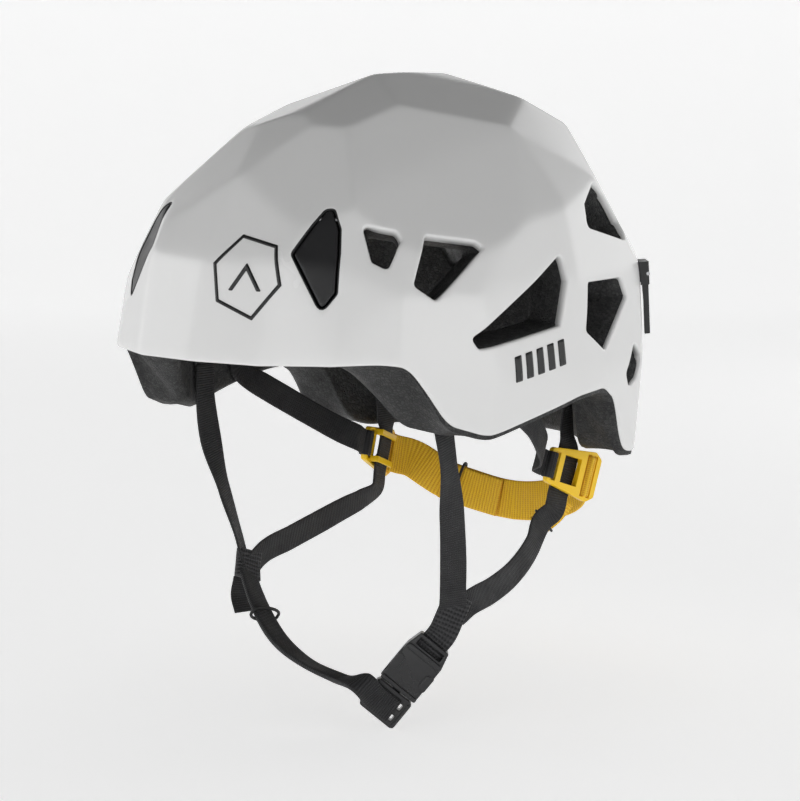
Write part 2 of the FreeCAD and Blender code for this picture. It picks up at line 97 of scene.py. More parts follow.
# A CAD node's own shape with its edges rounded off as a mould leaves them
def softenedCopy(node, name, radius, material, body, rings=3):
    mesh = cadNodes[node].data.copy()
    mesh.name = name
    work = bmesh.new()
    work.from_mesh(mesh)
    bmesh.ops.remove_doubles(work, verts=work.verts, dist=2e-6)
    bmesh.ops.dissolve_limit(work, angle_limit=math.radians(1.5), verts=work.verts, edges=work.edges)
    bmesh.ops.recalc_face_normals(work, faces=work.faces)
    work.to_mesh(mesh)
    work.free()
    piece = bpy.data.objects.new(name, mesh)
    bpy.context.scene.collection.objects.link(piece)
    bevel = piece.modifiers.new("softEdges", "BEVEL")
    bevel.width = radius
    bevel.segments = rings
    bevel.limit_method = "ANGLE"
    bevel.angle_limit = math.radians(28)
    bevel.use_clamp_overlap = True
    bevel.harden_normals = True
    mesh.shade_smooth()
    return finishPiece(piece, material, body, (node,))


# Local axes: x sideways, y upwards made square to it, z their cross product; origin in millimetres
def localAxes(origin, sideways, upwards):
    x = Vector(sideways).normalized()
    y = Vector(upwards)
    y = (y - x * y.dot(x)).normalized()
    z = x.cross(y)
    turn = Matrix((x, y, z)).transposed().to_4x4()
    return Matrix.Translation(Vector(origin) * mm) @ turn


def mirroredAxes(axes):
    flip = Matrix.Diagonal((-1, 1, 1, 1))
    return flip @ axes


# Procedural materials

def newMaterial(name, colour, roughness, **sockets):
    material = bpy.data.materials.new(name)
    material.use_nodes = True
    shader = material.node_tree.nodes["Principled BSDF"]
    shader.inputs["Base Color"].default_value = (*colour, 1)
    shader.inputs["Roughness"].default_value = roughness
    for socket, value in sockets.items():
        shader.inputs[socket.replace("_", " ")].default_value = value
    return material, material.node_tree, shader


def newEffect(name, inputs, outputs):
    group = bpy.data.node_groups.new(name, "ShaderNodeTree")
    for label, kind, value in inputs:
        socket = group.interface.new_socket(label, in_out="INPUT", socket_type="NodeSocket" + kind)
        if value is not None:
            socket.default_value = value
    for label, kind in outputs:
        group.interface.new_socket(label, in_out="OUTPUT", socket_type="NodeSocket" + kind)
    return group, group.nodes.new("NodeGroupInput"), group.nodes.new("NodeGroupOutput")


def place(tree, kind, **settings):
    node = tree.nodes.new("ShaderNode" + kind)
    for key, value in settings.items():
        setattr(node, key, value)
    return node


def useEffect(tree, group, **values):
    node = tree.nodes.new("ShaderNodeGroup")
    node.node_tree = group
    for label, value in values.items():
        node.inputs[label].default_value = value
    return node


def mathNode(tree, operation, one, two=None):
    node = place(tree, "Math", operation=operation)
    for index, value in enumerate((one, two)):
        if value is None:
            continue
        if isinstance(value, (int, float)):
            node.inputs[index].default_value = value
        else:
            tree.links.new(value, node.inputs[index])
    return node.outputs[0]


def blendColours(tree, factor, one, two):
    node = place(tree, "Mix", data_type="RGBA")
    for socket, value in ((node.inputs[0], factor), (node.inputs[6], one), (node.inputs[7], two)):
        if isinstance(value, (int, float)):
            socket.default_value = value
        elif isinstance(value, tuple):
            socket.default_value = (*value, 1)
        else:
            tree.links.new(value, socket)
    return node.outputs[2]


def raiseSurface(tree, shader, height, strength, distance):
    bump = place(tree, "Bump")
    bump.inputs["Strength"].default_value = strength
    bump.inputs["Distance"].default_value = distance
    tree.links.new(height, bump.inputs["Height"])
    tree.links.new(bump.outputs[0], shader.inputs["Normal"])


# Soft uneven patches from handling: a mask for colour and a value for roughness
def makeHandling():
    group, given, out = newEffect(
        "handling", (("Size", "Float", 40.0), ("Low", "Float", 0.25), ("High", "Float", 0.35)),
        (("Mask", "Float"), ("Roughness", "Float")))
    coords = place(group, "TexCoord")
    patches = place(group, "TexNoise")
    patches.inputs["Detail"].default_value = 5
    patches.inputs["Roughness"].default_value = 0.62
    spread = place(group, "MapRange")
    group.links.new(coords.outputs["Object"], patches.inputs["Vector"])
    group.links.new(given.outputs["Size"], patches.inputs["Scale"])
    group.links.new(patches.outputs[0], spread.inputs["Value"])
    spread.inputs["From Min"].default_value = 0.35
    spread.inputs["From Max"].default_value = 0.68
    group.links.new(given.outputs["Low"], spread.inputs["To Min"])
    group.links.new(given.outputs["High"], spread.inputs["To Max"])
    group.links.new(patches.outputs[0], out.inputs["Mask"])
    group.links.new(spread.outputs[0], out.inputs["Roughness"])
    return group


# Fine moulded grain
def makeGrain():
    group, given, out = newEffect("mouldGrain", (("Scale", "Float", 1500.0),), (("Height", "Float"),))
    coords = place(group, "TexCoord")
    grain = place(group, "TexNoise")
    grain.inputs["Detail"].default_value = 3
    group.links.new(coords.outputs["Object"], grain.inputs["Vector"])
    group.links.new(given.outputs["Scale"], grain.inputs["Scale"])
    group.links.new(grain.outputs[0], out.inputs["Height"])
    return group


# Expanded beads pressed together: a shade for each bead, the seams between them as a mask for painted shade,
# and their height
def makeBeads():
    group, given, out = newEffect(
        "foamBeads", (("Bead", "Float", 330.0),),
        (("Shade", "Float"), ("Seam", "Float"), ("Height", "Float")))
    coords = place(group, "TexCoord")
    wander = place(group, "TexNoise")
    wander.inputs["Scale"].default_value = 160
    shift = place(group, "VectorMath", operation="SCALE")
    shift.inputs["Scale"].default_value = 0.003
    moved = place(group, "VectorMath", operation="ADD")
    beads = place(group, "TexVoronoi", feature="F1")
    seams = place(group, "TexVoronoi", feature="DISTANCE_TO_EDGE")
    pores = place(group, "TexNoise")
    pores.inputs["Scale"].default_value = 1400
    pores.inputs["Detail"].default_value = 4
    group.links.new(coords.outputs["Object"], wander.inputs["Vector"])
    group.links.new(wander.outputs["Color"], shift.inputs[0])
    group.links.new(coords.outputs["Object"], moved.inputs[0])
    group.links.new(shift.outputs[0], moved.inputs[1])
    for cells in (beads, seams):
        group.links.new(moved.outputs[0], cells.inputs["Vector"])
        group.links.new(given.outputs["Bead"], cells.inputs["Scale"])
    group.links.new(coords.outputs["Object"], pores.inputs["Vector"])
    split = place(group, "SeparateColor")
    group.links.new(beads.outputs["Color"], split.inputs[0])
    edge = place(group, "MapRange")
    edge.inputs["From Max"].default_value = 0.16
    group.links.new(seams.outputs["Distance"], edge.inputs["Value"])
    rough = mathNode(group, "MULTIPLY", pores.outputs[0], 0.5)
    height = mathNode(group, "ADD", edge.outputs[0], rough)
    group.links.new(split.outputs[0], out.inputs["Shade"])
    group.links.new(edge.outputs[0], out.inputs["Seam"])
    group.links.new(height, out.inputs["Height"])
    return group


# Woven tape: ribs across it and herringbone threads, laid out by the piece's own length and width, with a mask
# of the weave's valleys for painted shade
def makeWeave():
    group, given, out = newEffect(
        "tapeWeave", (("Rib", "Float", 1.0), ("Thread", "Float", 0.5)),
        (("Height", "Float"), ("ValleyShade", "Float"), ("Fleck", "Float")))
    coords = place(group, "TexCoord")
    split = place(group, "SeparateXYZ")
    group.links.new(coords.outputs["UV"], split.inputs[0])
    across, along = split.outputs[0], split.outputs[1]
    turn = 2 * math.pi / mm
    ribs = mathNode(group, "MULTIPLY", along, turn)
    ribs = mathNode(group, "COSINE", mathNode(group, "DIVIDE", ribs, given.outputs["Rib"]))
    threads = mathNode(group, "DIVIDE", mathNode(group, "MULTIPLY", across, turn), given.outputs["Thread"])
    weft = mathNode(group, "ADD", threads, mathNode(group, "MULTIPLY", ribs, 1.2))
    weft = mathNode(group, "COSINE", weft)
    ribPart = mathNode(group, "MULTIPLY", ribs, 0.6)
    weftPart = mathNode(group, "MULTIPLY", weft, 0.4)
    height = mathNode(group, "ADD", ribPart, weftPart)
    # painted shade: the low parts of the weave height become a mask that darkens the colour in the valleys
    valleyShade = place(group, "MapRange")
    valleyShade.inputs["From Min"].default_value = -1
    valleyShade.inputs["From Max"].default_value = 0.3
    group.links.new(height, valleyShade.inputs["Value"])
    fleck = place(group, "TexNoise")
    fleck.inputs["Scale"].default_value = 900
    fleck.inputs["Detail"].default_value = 3
    group.links.new(coords.outputs["Object"], fleck.inputs["Vector"])
    group.links.new(height, out.inputs["Height"])
    group.links.new(valleyShade.outputs[0], out.inputs["ValleyShade"])
    group.links.new(fleck.outputs[0], out.inputs["Fleck"])
    return group


handling = makeHandling()
mouldGrain = makeGrain()
foamBeads = makeBeads()
tapeWeave = makeWeave()

finishes = {
    "skin": (0.80, 0.80, 0.795),
    "skinShade": (0.79, 0.792, 0.788),
    "foam": (0.012, 0.012, 0.013),
    "foamLight": (0.048, 0.049, 0.047),
    "blackPlastic": (0.011, 0.011, 0.012),
    "yellowPlastic": (1.0, 0.62, 0.010),
    # the darker black and yellow tape colours are painted shade for the weave's valleys, and also the tone of
    # random flecks
    "blackTape": (0.004, 0.004, 0.0045),
    "blackTapeLight": (0.026, 0.026, 0.028),
    "sleeveTape": (0.05, 0.05, 0.053),
    "yellowTape": (1.0, 0.66, 0.03),
    "yellowTapeShadeAndFleck": (0.66, 0.30, 0.006),
    "rubber": (0.008, 0.008, 0.008),
    "steel": (0.50, 0.50, 0.52),
    "cloth": (0.014, 0.014, 0.015),
    "ink": (0.004, 0.004, 0.0045),
}


def makeSkinFinish():
    coat = {"Coat_Weight": 0.35, "Coat_Roughness": 0.12}
    material, tree, shader = newMaterial("whiteSkin", finishes["skin"], 0.26, **coat)
    patches = useEffect(tree, handling, Size=9.0, Low=0.265, High=0.275)
    tint = blendColours(tree, patches.outputs["Mask"], finishes["skinShade"], finishes["skin"])
    tree.links.new(tint, shader.inputs["Base Color"])
    tree.links.new(patches.outputs["Roughness"], shader.inputs["Roughness"])
    grain = useEffect(tree, mouldGrain, Scale=700.0)
    raiseSurface(tree, shader, grain.outputs["Height"], 0.05, 0.00012)
    return material


def makeFoamFinish():
    material, tree, shader = newMaterial("beadFoam", finishes["foam"], 0.62)
    beads = useEffect(tree, foamBeads, Bead=640.0)
    shade = blendColours(tree, beads.outputs["Shade"], finishes["foam"], finishes["foamLight"])
    # painted shade: the seams between the beads are darkened to the deepest foam tone; the beads' own tones
    # vary at random
    shade = blendColours(tree, beads.outputs["Seam"], (0.012, 0.012, 0.013), shade)
    tree.links.new(shade, shader.inputs["Base Color"])
    patches = useEffect(tree, handling, Size=60.0, Low=0.45, High=0.8)
    tree.links.new(patches.outputs["Roughness"], shader.inputs["Roughness"])
    raiseSurface(tree, shader, beads.outputs["Height"], 0.55, 0.0006)
    return material


def makePlasticFinish(name, colour, low, high, grainDepth=0.08, grainScale=1600.0, lighter=1.35):
    material, tree, shader = newMaterial(name, colour, low)
    patches = useEffect(tree, handling, Size=55.0, Low=low, High=high)
    worn = tuple(min(1.0, c * lighter) for c in colour)
    tint = blendColours(tree, patches.outputs["Mask"], colour, worn)
    tree.links.new(tint, shader.inputs["Base Color"])
    tree.links.new(patches.outputs["Roughness"], shader.inputs["Roughness"])
    grain = useEffect(tree, mouldGrain, Scale=grainScale)
    raiseSurface(tree, shader, grain.outputs["Height"], grainDepth, 0.0002)
    return material


def makeTapeFinish(name, deep, light, rib, thread, bumpDepth):
    material, tree, shader = newMaterial(name, light, 0.72, Sheen_Weight=0.08, Sheen_Roughness=0.4)
    weave = useEffect(tree, tapeWeave, Rib=rib, Thread=thread)
    # painted shade: the deep colour fills the weave's valleys; the random flecks of it below are real tone
    shade = blendColours(tree, weave.outputs["ValleyShade"], deep, light)
    flecked = blendColours(tree, mathNode(tree, "MULTIPLY", weave.outputs["Fleck"], 0.45), shade, deep)
    tree.links.new(flecked, shader.inputs["Base Color"])
    patches = useEffect(tree, handling, Size=80.0, Low=0.6, High=0.85)
    tree.links.new(patches.outputs["Roughness"], shader.inputs["Roughness"])
    raiseSurface(tree, shader, weave.outputs["Height"], 0.6, bumpDepth)
    return material


def makeClothFinish(name, colour, scale):
    material, tree, shader = newMaterial(name, colour, 0.85, Sheen_Weight=0.4, Sheen_Roughness=0.5)
    beads = useEffect(tree, foamBeads, Bead=scale)
    # painted light and shade: a shaded copy of the colour in the seams between the knit's cells and a lit copy
    # on their tops
    deep, light = (tuple(c * share for c in colour) for share in (0.45, 1.5))
    tint = blendColours(tree, beads.outputs["Seam"], deep, light)
    tree.links.new(tint, shader.inputs["Base Color"])
    raiseSurface(tree, shader, beads.outputs["Height"], 0.5, 0.0003)
    return material


def makeSteelFinish():
    material, tree, shader = newMaterial("pinSteel", finishes["steel"], 0.32, Metallic=1.0)
    patches = useEffect(tree, handling, Size=400.0, Low=0.25, High=0.42)
    tree.links.new(patches.outputs["Roughness"], shader.inputs["Roughness"])
    return material


whiteSkin = makeSkinFinish()
beadFoam = makeFoamFinish()
blackPlastic = makePlasticFinish("blackPlastic", finishes["blackPlastic"], 0.34, 0.48)
buckleBlack = makePlasticFinish("buckleBlack", finishes["blackPlastic"], 0.24, 0.38, 0.05)
yellowPlastic = makePlasticFinish("yellowPlastic", finishes["yellowPlastic"], 0.30, 0.42, 0.05, 1200.0, 1.04)
ringRubber = makePlasticFinish("ringRubber", finishes["rubber"], 0.45, 0.6, 0.05)
printInk = makePlasticFinish("printInk", finishes["ink"], 0.30, 0.4, 0.03)
blackTape = makeTapeFinish("blackTape", finishes["blackTape"], finishes["blackTapeLight"], 1.15, 0.9, 0.00022)
sleeveTape = makeTapeFinish("sleeveTape", finishes["blackTape"], finishes["sleeveTape"], 2.1, 1.6, 0.0004)
yellowTape = makeTapeFinish("yellowTape", finishes["yellowTapeShadeAndFleck"], finishes["yellowTape"], 1.7, 1.0, 0.00025)
padCloth = makeClothFinish("padCloth", finishes["cloth"], 1400.0)
hookTape = makeClothFinish("hookTape", finishes["rubber"], 2200.0)
pinSteel = makeSteelFinish()
print("materials ready")


# The helmet's form, as distances from its centre

skinForm = {
    "crispness": 320,           # higher makes the facet edges sharper
    "lowestFacet": -0.45,       # faces that look further down than this are the trimmed edge
}
cavityForm = {"halfWidth": 0.086, "halfLength": 0.107, "middle": 0.001, "height": 0.106,
              "channelDepth": 0.0035, "channelAt": 0.034, "channelHalf": 0.009}


def findSkinPlanes():
    mesh = cadNodes["outer_shell"].data
    points = np.array([v.co for v in mesh.vertices], float)
    normals, offsets = [], []
    for face in mesh.polygons:
        normal = np.array(face.normal, float)
        if face.area < 3e-6 or normal[2] < skinForm["lowestFacet"]:
            continue
        offset = float(normal @ np.array(face.center))
        if (points @ normal).max() > offset + 3e-5:
            continue
        known = False
        for other, level in zip(normals, offsets):
            known = known or (normal @ other > 0.9998 and abs(level - offset) < 2e-4)
        if not known:
            normals.append(normal)
            offsets.append(offset)
    normals = np.array(normals)
    return normals, np.array(offsets) - normals @ headCentre


# The broad flats moulded over the crown, each by three of its corners in millimetres, forehead to nape
crownFlats = {
    "top_front": [(0, -6, 129), (34, -28, 115), (16, -67, 106)],
    "temple_upper": [(34, -28, 115), (64, 14, 105), (54, -83, 77)],
    "top_side": [(0, -6, 129), (64, 14, 105), (20, 52, 124)],
    "temple_lower": [(64, 14, 105), (54, -83, 77), (94, -11, 64)],
    "forehead": [(16, -67, 106), (-16, -67, 106), (0, -96, 86)],
    "forehead_side": [(16, -67, 106), (0, -96, 86), (54, -83, 77)],
}


def addCrownFlats(normals, offsets):
    normals, offsets = list(normals), list(offsets)
    for corners in crownFlats.values():
        one, two, three = (np.array(corner, float) * mm - headCentre for corner in corners)
        normal = np.cross(two - one, three - one)
        normal /= np.linalg.norm(normal)
        normal = normal if normal @ one > 0 else -normal
        for mirror in (1, -1):
            turned = normal * np.array((mirror, 1, 1))
            if not any(turned @ known > 0.99999 for known in normals):
                normals.append(turned)
                offsets.append(float(normal @ one))
    return np.array(normals), np.array(offsets)


skinNormals, skinOffsets = addCrownFlats(*findSkinPlanes())
print("skin facets:", len(skinOffsets))


def skinSurface(directions, inset=0.0):
    near = np.maximum(directions @ skinNormals.T, 1e-6) / skinOffsets
    top = near.max(1, keepdims=True)
    share = (near / top) ** skinForm["crispness"]
    radius = 1 / (top[:, 0] * share.sum(1) ** (1 / skinForm["crispness"]))
    normals = share @ skinNormals
    normals /= np.linalg.norm(normals, axis=1, keepdims=True)
    return headCentre + directions * radius[:, None] - normals * inset, normals


def cavitySurface(directions, inset=0.0):
    form = cavityForm
    low = np.full(len(directions), 0.01)
    high = np.full(len(directions), 0.16)
    for step in range(26):
        middle = (low + high) / 2
        points = headCentre + directions * middle[:, None]
        share = np.sqrt(np.maximum(1 - (np.maximum(points[:, 2], 0) / form["height"]) ** 2, 1e-6))
        size = (points[:, 0] / (form["halfWidth"] * share)) ** 2
        size += ((points[:, 1] - form["middle"]) / (form["halfLength"] * share)) ** 2
        inside = (size < 1) & (points[:, 2] < form["height"])
        low = np.where(inside, middle, low)
        high = np.where(inside, high, middle)
    points = headCentre + directions * low[:, None]
    beside = np.abs(np.abs(points[:, 0]) - form["channelAt"]) / form["channelHalf"]
    rise = np.clip((points[:, 2] - 0.02) / 0.02, 0, 1)
    channel = form["channelDepth"] * np.clip(1.5 - beside, 0, 1) * rise
    radius = low + channel - inset
    return headCentre + directions * radius[:, None], -directions


# The flat map: a direction from the centre becomes a point as far from (0, 0) as its tilt from +Z
def toFlat(points):
    arms = points - headCentre
    arms = arms / np.linalg.norm(arms, axis=1, keepdims=True)
    tilt = np.arccos(np.clip(arms[:, 2], -1, 1))
    around = np.arctan2(arms[:, 1], arms[:, 0])
    return np.stack((tilt * np.cos(around), tilt * np.sin(around)), 1)


def fromFlat(flat):
    tilt = np.linalg.norm(flat, axis=1)
    around = np.arctan2(flat[:, 1], flat[:, 0])
    level = np.sin(tilt)
    return np.stack((level * np.cos(around), level * np.sin(around), np.cos(tilt)), 1)


def insideLoop(points, loop):
    inside = np.zeros(len(points), bool)
    x, y = points[:, 0], points[:, 1]
    for a, b in zip(loop, np.roll(loop, -1, 0)):
        if a[1] == b[1]:
            continue
        crosses = (a[1] > y) != (b[1] > y)
        inside ^= crosses & (x < (b[0] - a[0]) * (y - a[1]) / (b[1] - a[1]) + a[0])
    return inside


# Triangles over the flat map inside the first loop and outside the others, with the loops' own points kept
def flatMesh(loops, spacing):
    outer = loops[0]
    low, high = outer.min(0), outer.max(0)
    rowStep = spacing * math.sqrt(3) / 2
    rows = []
    for row, y in enumerate(np.arange(low[1], high[1], rowStep)):
        x = np.arange(low[0] + (row % 2) * spacing / 2, high[0], spacing)
        rows.append(np.stack((x, np.full(len(x), y)), 1))
    grid = np.concatenate(rows)
    keep = insideLoop(grid, outer)
    for hole in loops[1:]:
        keep &= ~insideLoop(grid, hole)
    grid = grid[keep]
    border = np.concatenate(loops)
    tree = kdtree.KDTree(len(border))
    for index, point in enumerate(border):
        tree.insert((point[0], point[1], 0), index)
    tree.balance()
    clear = [tree.find((p[0], p[1], 0))[2] > spacing * 0.55 for p in grid]
    grid = grid[np.array(clear, bool)]
    edges = []
    start = 0
    for loop in loops:
        count = len(loop)
        edges += [(start + i, start + (i + 1) % count) for i in range(count)]
        start += count
    points = [Vector(p) for p in np.concatenate((border, grid))]
    found, _, faces, sources, _, _ = delaunay_2d_cdt(points, edges, [], 0, 1e-9)
    places = np.array([tuple(p) for p in found])
    faces = np.array([f for f in faces if len(f) == 3])
    middles = places[faces].mean(1)
    keep = insideLoop(middles, outer)
    for hole in loops[1:]:
        keep &= ~insideLoop(middles, hole)
    newIndex = {}
    for index, originals in enumerate(sources):
        for original in originals:
            newIndex[original] = index
    rings = []
    start = 0
    for loop in loops:
        rings.append([newIndex[start + i] for i in range(len(loop))])
        start += len(loop)
    return places, faces[keep], rings


class Wall:
    def __init__(self):
        self.points = []
        self.faces = []
        self.count = 0

    def add(self, points):
        self.points.append(np.asarray(points, float))
        self.count += len(points)
        return list(range(self.count - len(points), self.count))

    def sheet(self, points, faces):
        start = self.count
        self.add(points)
        self.faces += [tuple(int(i) + start for i in face) for face in faces]
        return start

    def bridge(self, one, two):
        count = len(one)
        for i in range(count):
            j = (i + 1) % count
            self.faces.append((one[i], one[j], two[j], two[i]))

    # Adds ring after ring, each joined to the one before
    def follow(self, ring, places):
        for points in places:
            following = self.add(points)
            self.bridge(ring, following)
            ring = following
        return ring

    def piece(self, name, material, slot, body, replaced=()):
        return newPiece(name, np.concatenate(self.points), self.faces, material, body, replaced)

    def at(self, ring):
        every = np.concatenate(self.points)
        return every[np.array(ring)]


# A closed outline in space with its corners rounded, as evenly spaced points in millimetres
def roundedOutline(corners, radius, step=1.4):
    corners = [Vector(c) for c in corners]
    count = len(corners)
    legs = []
    for i in range(count):
        before, here, after = corners[i - 1], corners[i], corners[(i + 1) % count]
        back, ahead = (before - here), (after - here)
        half = back.angle(ahead) / 2
        reach = min(radius / math.tan(half), back.length * 0.42, ahead.length * 0.42)
        legs.append((here + back.normalized() * reach, here, here + ahead.normalized() * reach))
    points = []
    for i in range(count):
        start, corner, stop = legs[i]
        for share in np.linspace(0, 1, 6):
            points.append(start * (1 - share) ** 2 + corner * 2 * share * (1 - share) + stop * share ** 2)
        ahead = legs[(i + 1) % count][0]
        run = (ahead - stop).length
        pieces = max(1, round(run / step))
        for k in range(1, pieces):
            points.append(stop.lerp(ahead, k / pieces))
    return np.array([tuple(p) for p in points]) * mm


def directionsTo(points):
    arms = points - headCentre
    return arms / np.linalg.norm(arms, axis=1, keepdims=True)


# Sideways direction at each point of a loop, in the surface and towards the loop's middle
def inwardOf(points, normals):
    along = np.roll(points, -1, 0) - np.roll(points, 1, 0)
    side = np.cross(normals, along)
    side /= np.linalg.norm(side, axis=1, keepdims=True)
    towardsMiddle = points.mean(0) - points
    if (side * towardsMiddle).sum() < 0:
        side = -side
    return side


def grownLoop(points, amount, surface=skinSurface):
    places, normals = surface(directionsTo(points))
    return places - inwardOf(places, normals) * amount


# Lower edges and vents

edges = {
    # side view of the lower edge, forehead to nape, as (y, z) in millimetres
    "skin": [(-150, 3), (-96, 4.5), (-86, 2.5), (-79, -6), (-66, -24), (-48, -30), (-38, -28.5), (15, -17.5),
             (36, -15.5), (49, -23), (53, -34), (60, -47), (68, -50), (90, -48.5), (150, -48)],
    "foam": [(-150, 5), (-96, 5.5), (-86, 1.5), (-79, -7.5), (-67, -25.5), (-48, -31.5), (-38, -30), (15, -19),
             (36, -17), (48, -24), (52, -35), (59, -48), (68, -51.5), (90, -50), (150, -49.5)],
    "softening": 3.5,
    "points": 760,             # round the whole edge
}


def edgeHeight(y, outline):
    table = np.array(outline, float) * mm
    shifts = np.linspace(-1, 1, 7) * edges["softening"] * mm
    return np.mean([np.interp(y + s, table[:, 0], table[:, 1]) for s in shifts], 0)


def lowerEdge(outline, surface, lift=0.0):
    around = np.linspace(0, 2 * math.pi, edges["points"], endpoint=False)
    low = np.full(len(around), 0.9)
    high = np.full(len(around), 2.5)
    for step in range(30):
        tilt = (low + high) / 2
        flat = np.stack((tilt * np.cos(around), tilt * np.sin(around)), 1)
        places, _ = surface(fromFlat(flat))
        above = places[:, 2] > edgeHeight(places[:, 1], outline) + lift
        low = np.where(above, tilt, low)
        high = np.where(above, high, tilt)
    return np.stack((low * np.cos(around), low * np.sin(around)), 1)


vents = {
    "temple_front": [(64, -90, 64), (75, -79, 62), (77, -78, 58), (78, -89, 45), (72, -93, 48.5)],
    "temple_rear": [(82, -67, 60), (92, -44, 56), (94, -42, 53), (91, -72, 31), (85, -80, 38)],
    "side": [(99.5, 7, 48), (103, 7, 36), (106, 0, 16), (101, -54, 9), (99, -57, 14)],
    "rear_side": [(103, 25, 34), (98, 60, 34), (98, 64, 25), (106, 36, 2), (106, 20, 12)],
    "rear_upper": [(82, 57, 78), (90, 41, 69), (95, 37, 59), (90, 71, 51), (84, 77, 60)],
    "rear_low": [(99, 67, 3), (97, 74, -4), (99, 69, -14), (101, 62, -18), (102, 58, -11)],
    "back": [(30, 124, 62), (52, 113, 58), (44, 123, 34), (24, 131, 28)],
}
ventLook = {"corner": 2.6, "lip": 1.3, "lipDepth": 2.4}


def bothSides(loop):
    other = loop[::-1].copy()
    other[:, 0] *= -1
    return [loop, other]


ventLoops = []
for corners in vents.values():
    ventLoops += bothSides(roundedOutline(corners, ventLook["corner"]))

clipForm = {
    "outline": [(-13, 1.5), (0, -24), (6, -16), (6.5, 2), (6, 13), (2.5, 22.5), (-0.5, 22.5)],
    "corner": 2.2, "gap": 0.5, "frame": 1.1,
}
frontClipAxes = localAxes((54, -104, 50), (0.842, 0.54, 0), (-0.195, 0.305, 0.932))
clipOutline = [frontClipAxes @ (Vector((x, y, 0)) * mm) / mm for x, y in clipForm["outline"]]
clipLoop = roundedOutline(clipOutline, clipForm["corner"], 1.0)
clipLoops = bothSides(clipLoop)


# A rounded lip that turns in from an edge of the skin, then back up its inner face
def rolledLip(wall, ring, places, normals, side, radius, depth, thickness, innerRing):
    previous = ring
    for angle in (22, 45, 68, 90):
        turn = math.radians(angle)
        shift = side * radius * math.sin(turn) - normals * radius * (1 - math.cos(turn))
        ringNow = wall.add(places + shift)
        wall.bridge(previous, ringNow)
        previous = ringNow
    for out, down in ((radius, radius + depth), (radius - thickness, radius + depth),
                      (radius - thickness, radius + thickness)):
        ringNow = wall.add(places + side * out - normals * down)
        wall.bridge(previous, ringNow)
        previous = ringNow
    wall.bridge(previous, innerRing)


skinWall = {
    "thickness": 0.0009, "spacing": 0.0205,            # the spacing is in radians on the flat map
    "rimRadius": 0.0015, "rimDepth": 0.0018,
    "seatRadius": 0.0005, "seatDepth": 0.0015,         # round the front clips
}


def buildSkin():
    lip = ventLook["lip"] * mm
    rim = lowerEdge(edges["skin"], skinSurface, skinWall["rimRadius"])
    holes = [grownLoop(loop, lip) for loop in ventLoops]
    seats = [grownLoop(loop, (clipForm["gap"] + clipForm["frame"]) * mm) for loop in clipLoops]
    loops = [rim] + [toFlat(loop) for loop in holes + seats]
    flat, faces, rings = flatMesh(loops, skinWall["spacing"])
    places, normals = skinSurface(fromFlat(flat))
    wall = Wall()
    wall.sheet(places, faces)
    inner = wall.sheet(places - normals * skinWall["thickness"], faces[:, ::-1])
    for index, ring in enumerate(rings):
        ringPlaces, ringNormals = places[ring], normals[ring]
        side = inwardOf(ringPlaces, ringNormals)
        if index == 0:
            if side[:, 2].sum() > 0:
                side = -side
            radius, depth = skinWall["rimRadius"], skinWall["rimDepth"]
        elif index <= len(holes):
            radius, depth = lip, ventLook["lipDepth"] * mm
        else:
            radius, depth = skinWall["seatRadius"], skinWall["seatDepth"]
        lipThickness = skinWall["thickness"] * 0.8
        innerRing = [i + inner for i in ring]
        rolledLip(wall, ring, ringPlaces, ringNormals, side, radius, depth, lipThickness, innerRing)
    return wall.piece("moulded_skin", whiteSkin, "white_shell", "helmet", ("outer_shell",))


foamWall = {
    "inset": 0.0010, "spacing": 0.036, "innerSpacing": 0.030, "recess": 0.0004, "flare": 0.0022,
    "rimLift": 0.0035, "pocketDepth": 0.0062,
    # the underside as (towards the outside, down) from the outer and then the inner edge
    "outerLip": ((-0.0012, 0.0004), (-0.004, 0.0006)),
    "innerLip": ((0.0035, 0.0034), (0.0012, 0.0024), (0.0003, 0.0011)),
}


def foamOuter(directions, inset=0.0):
    return skinSurface(directions, foamWall["inset"] + inset)


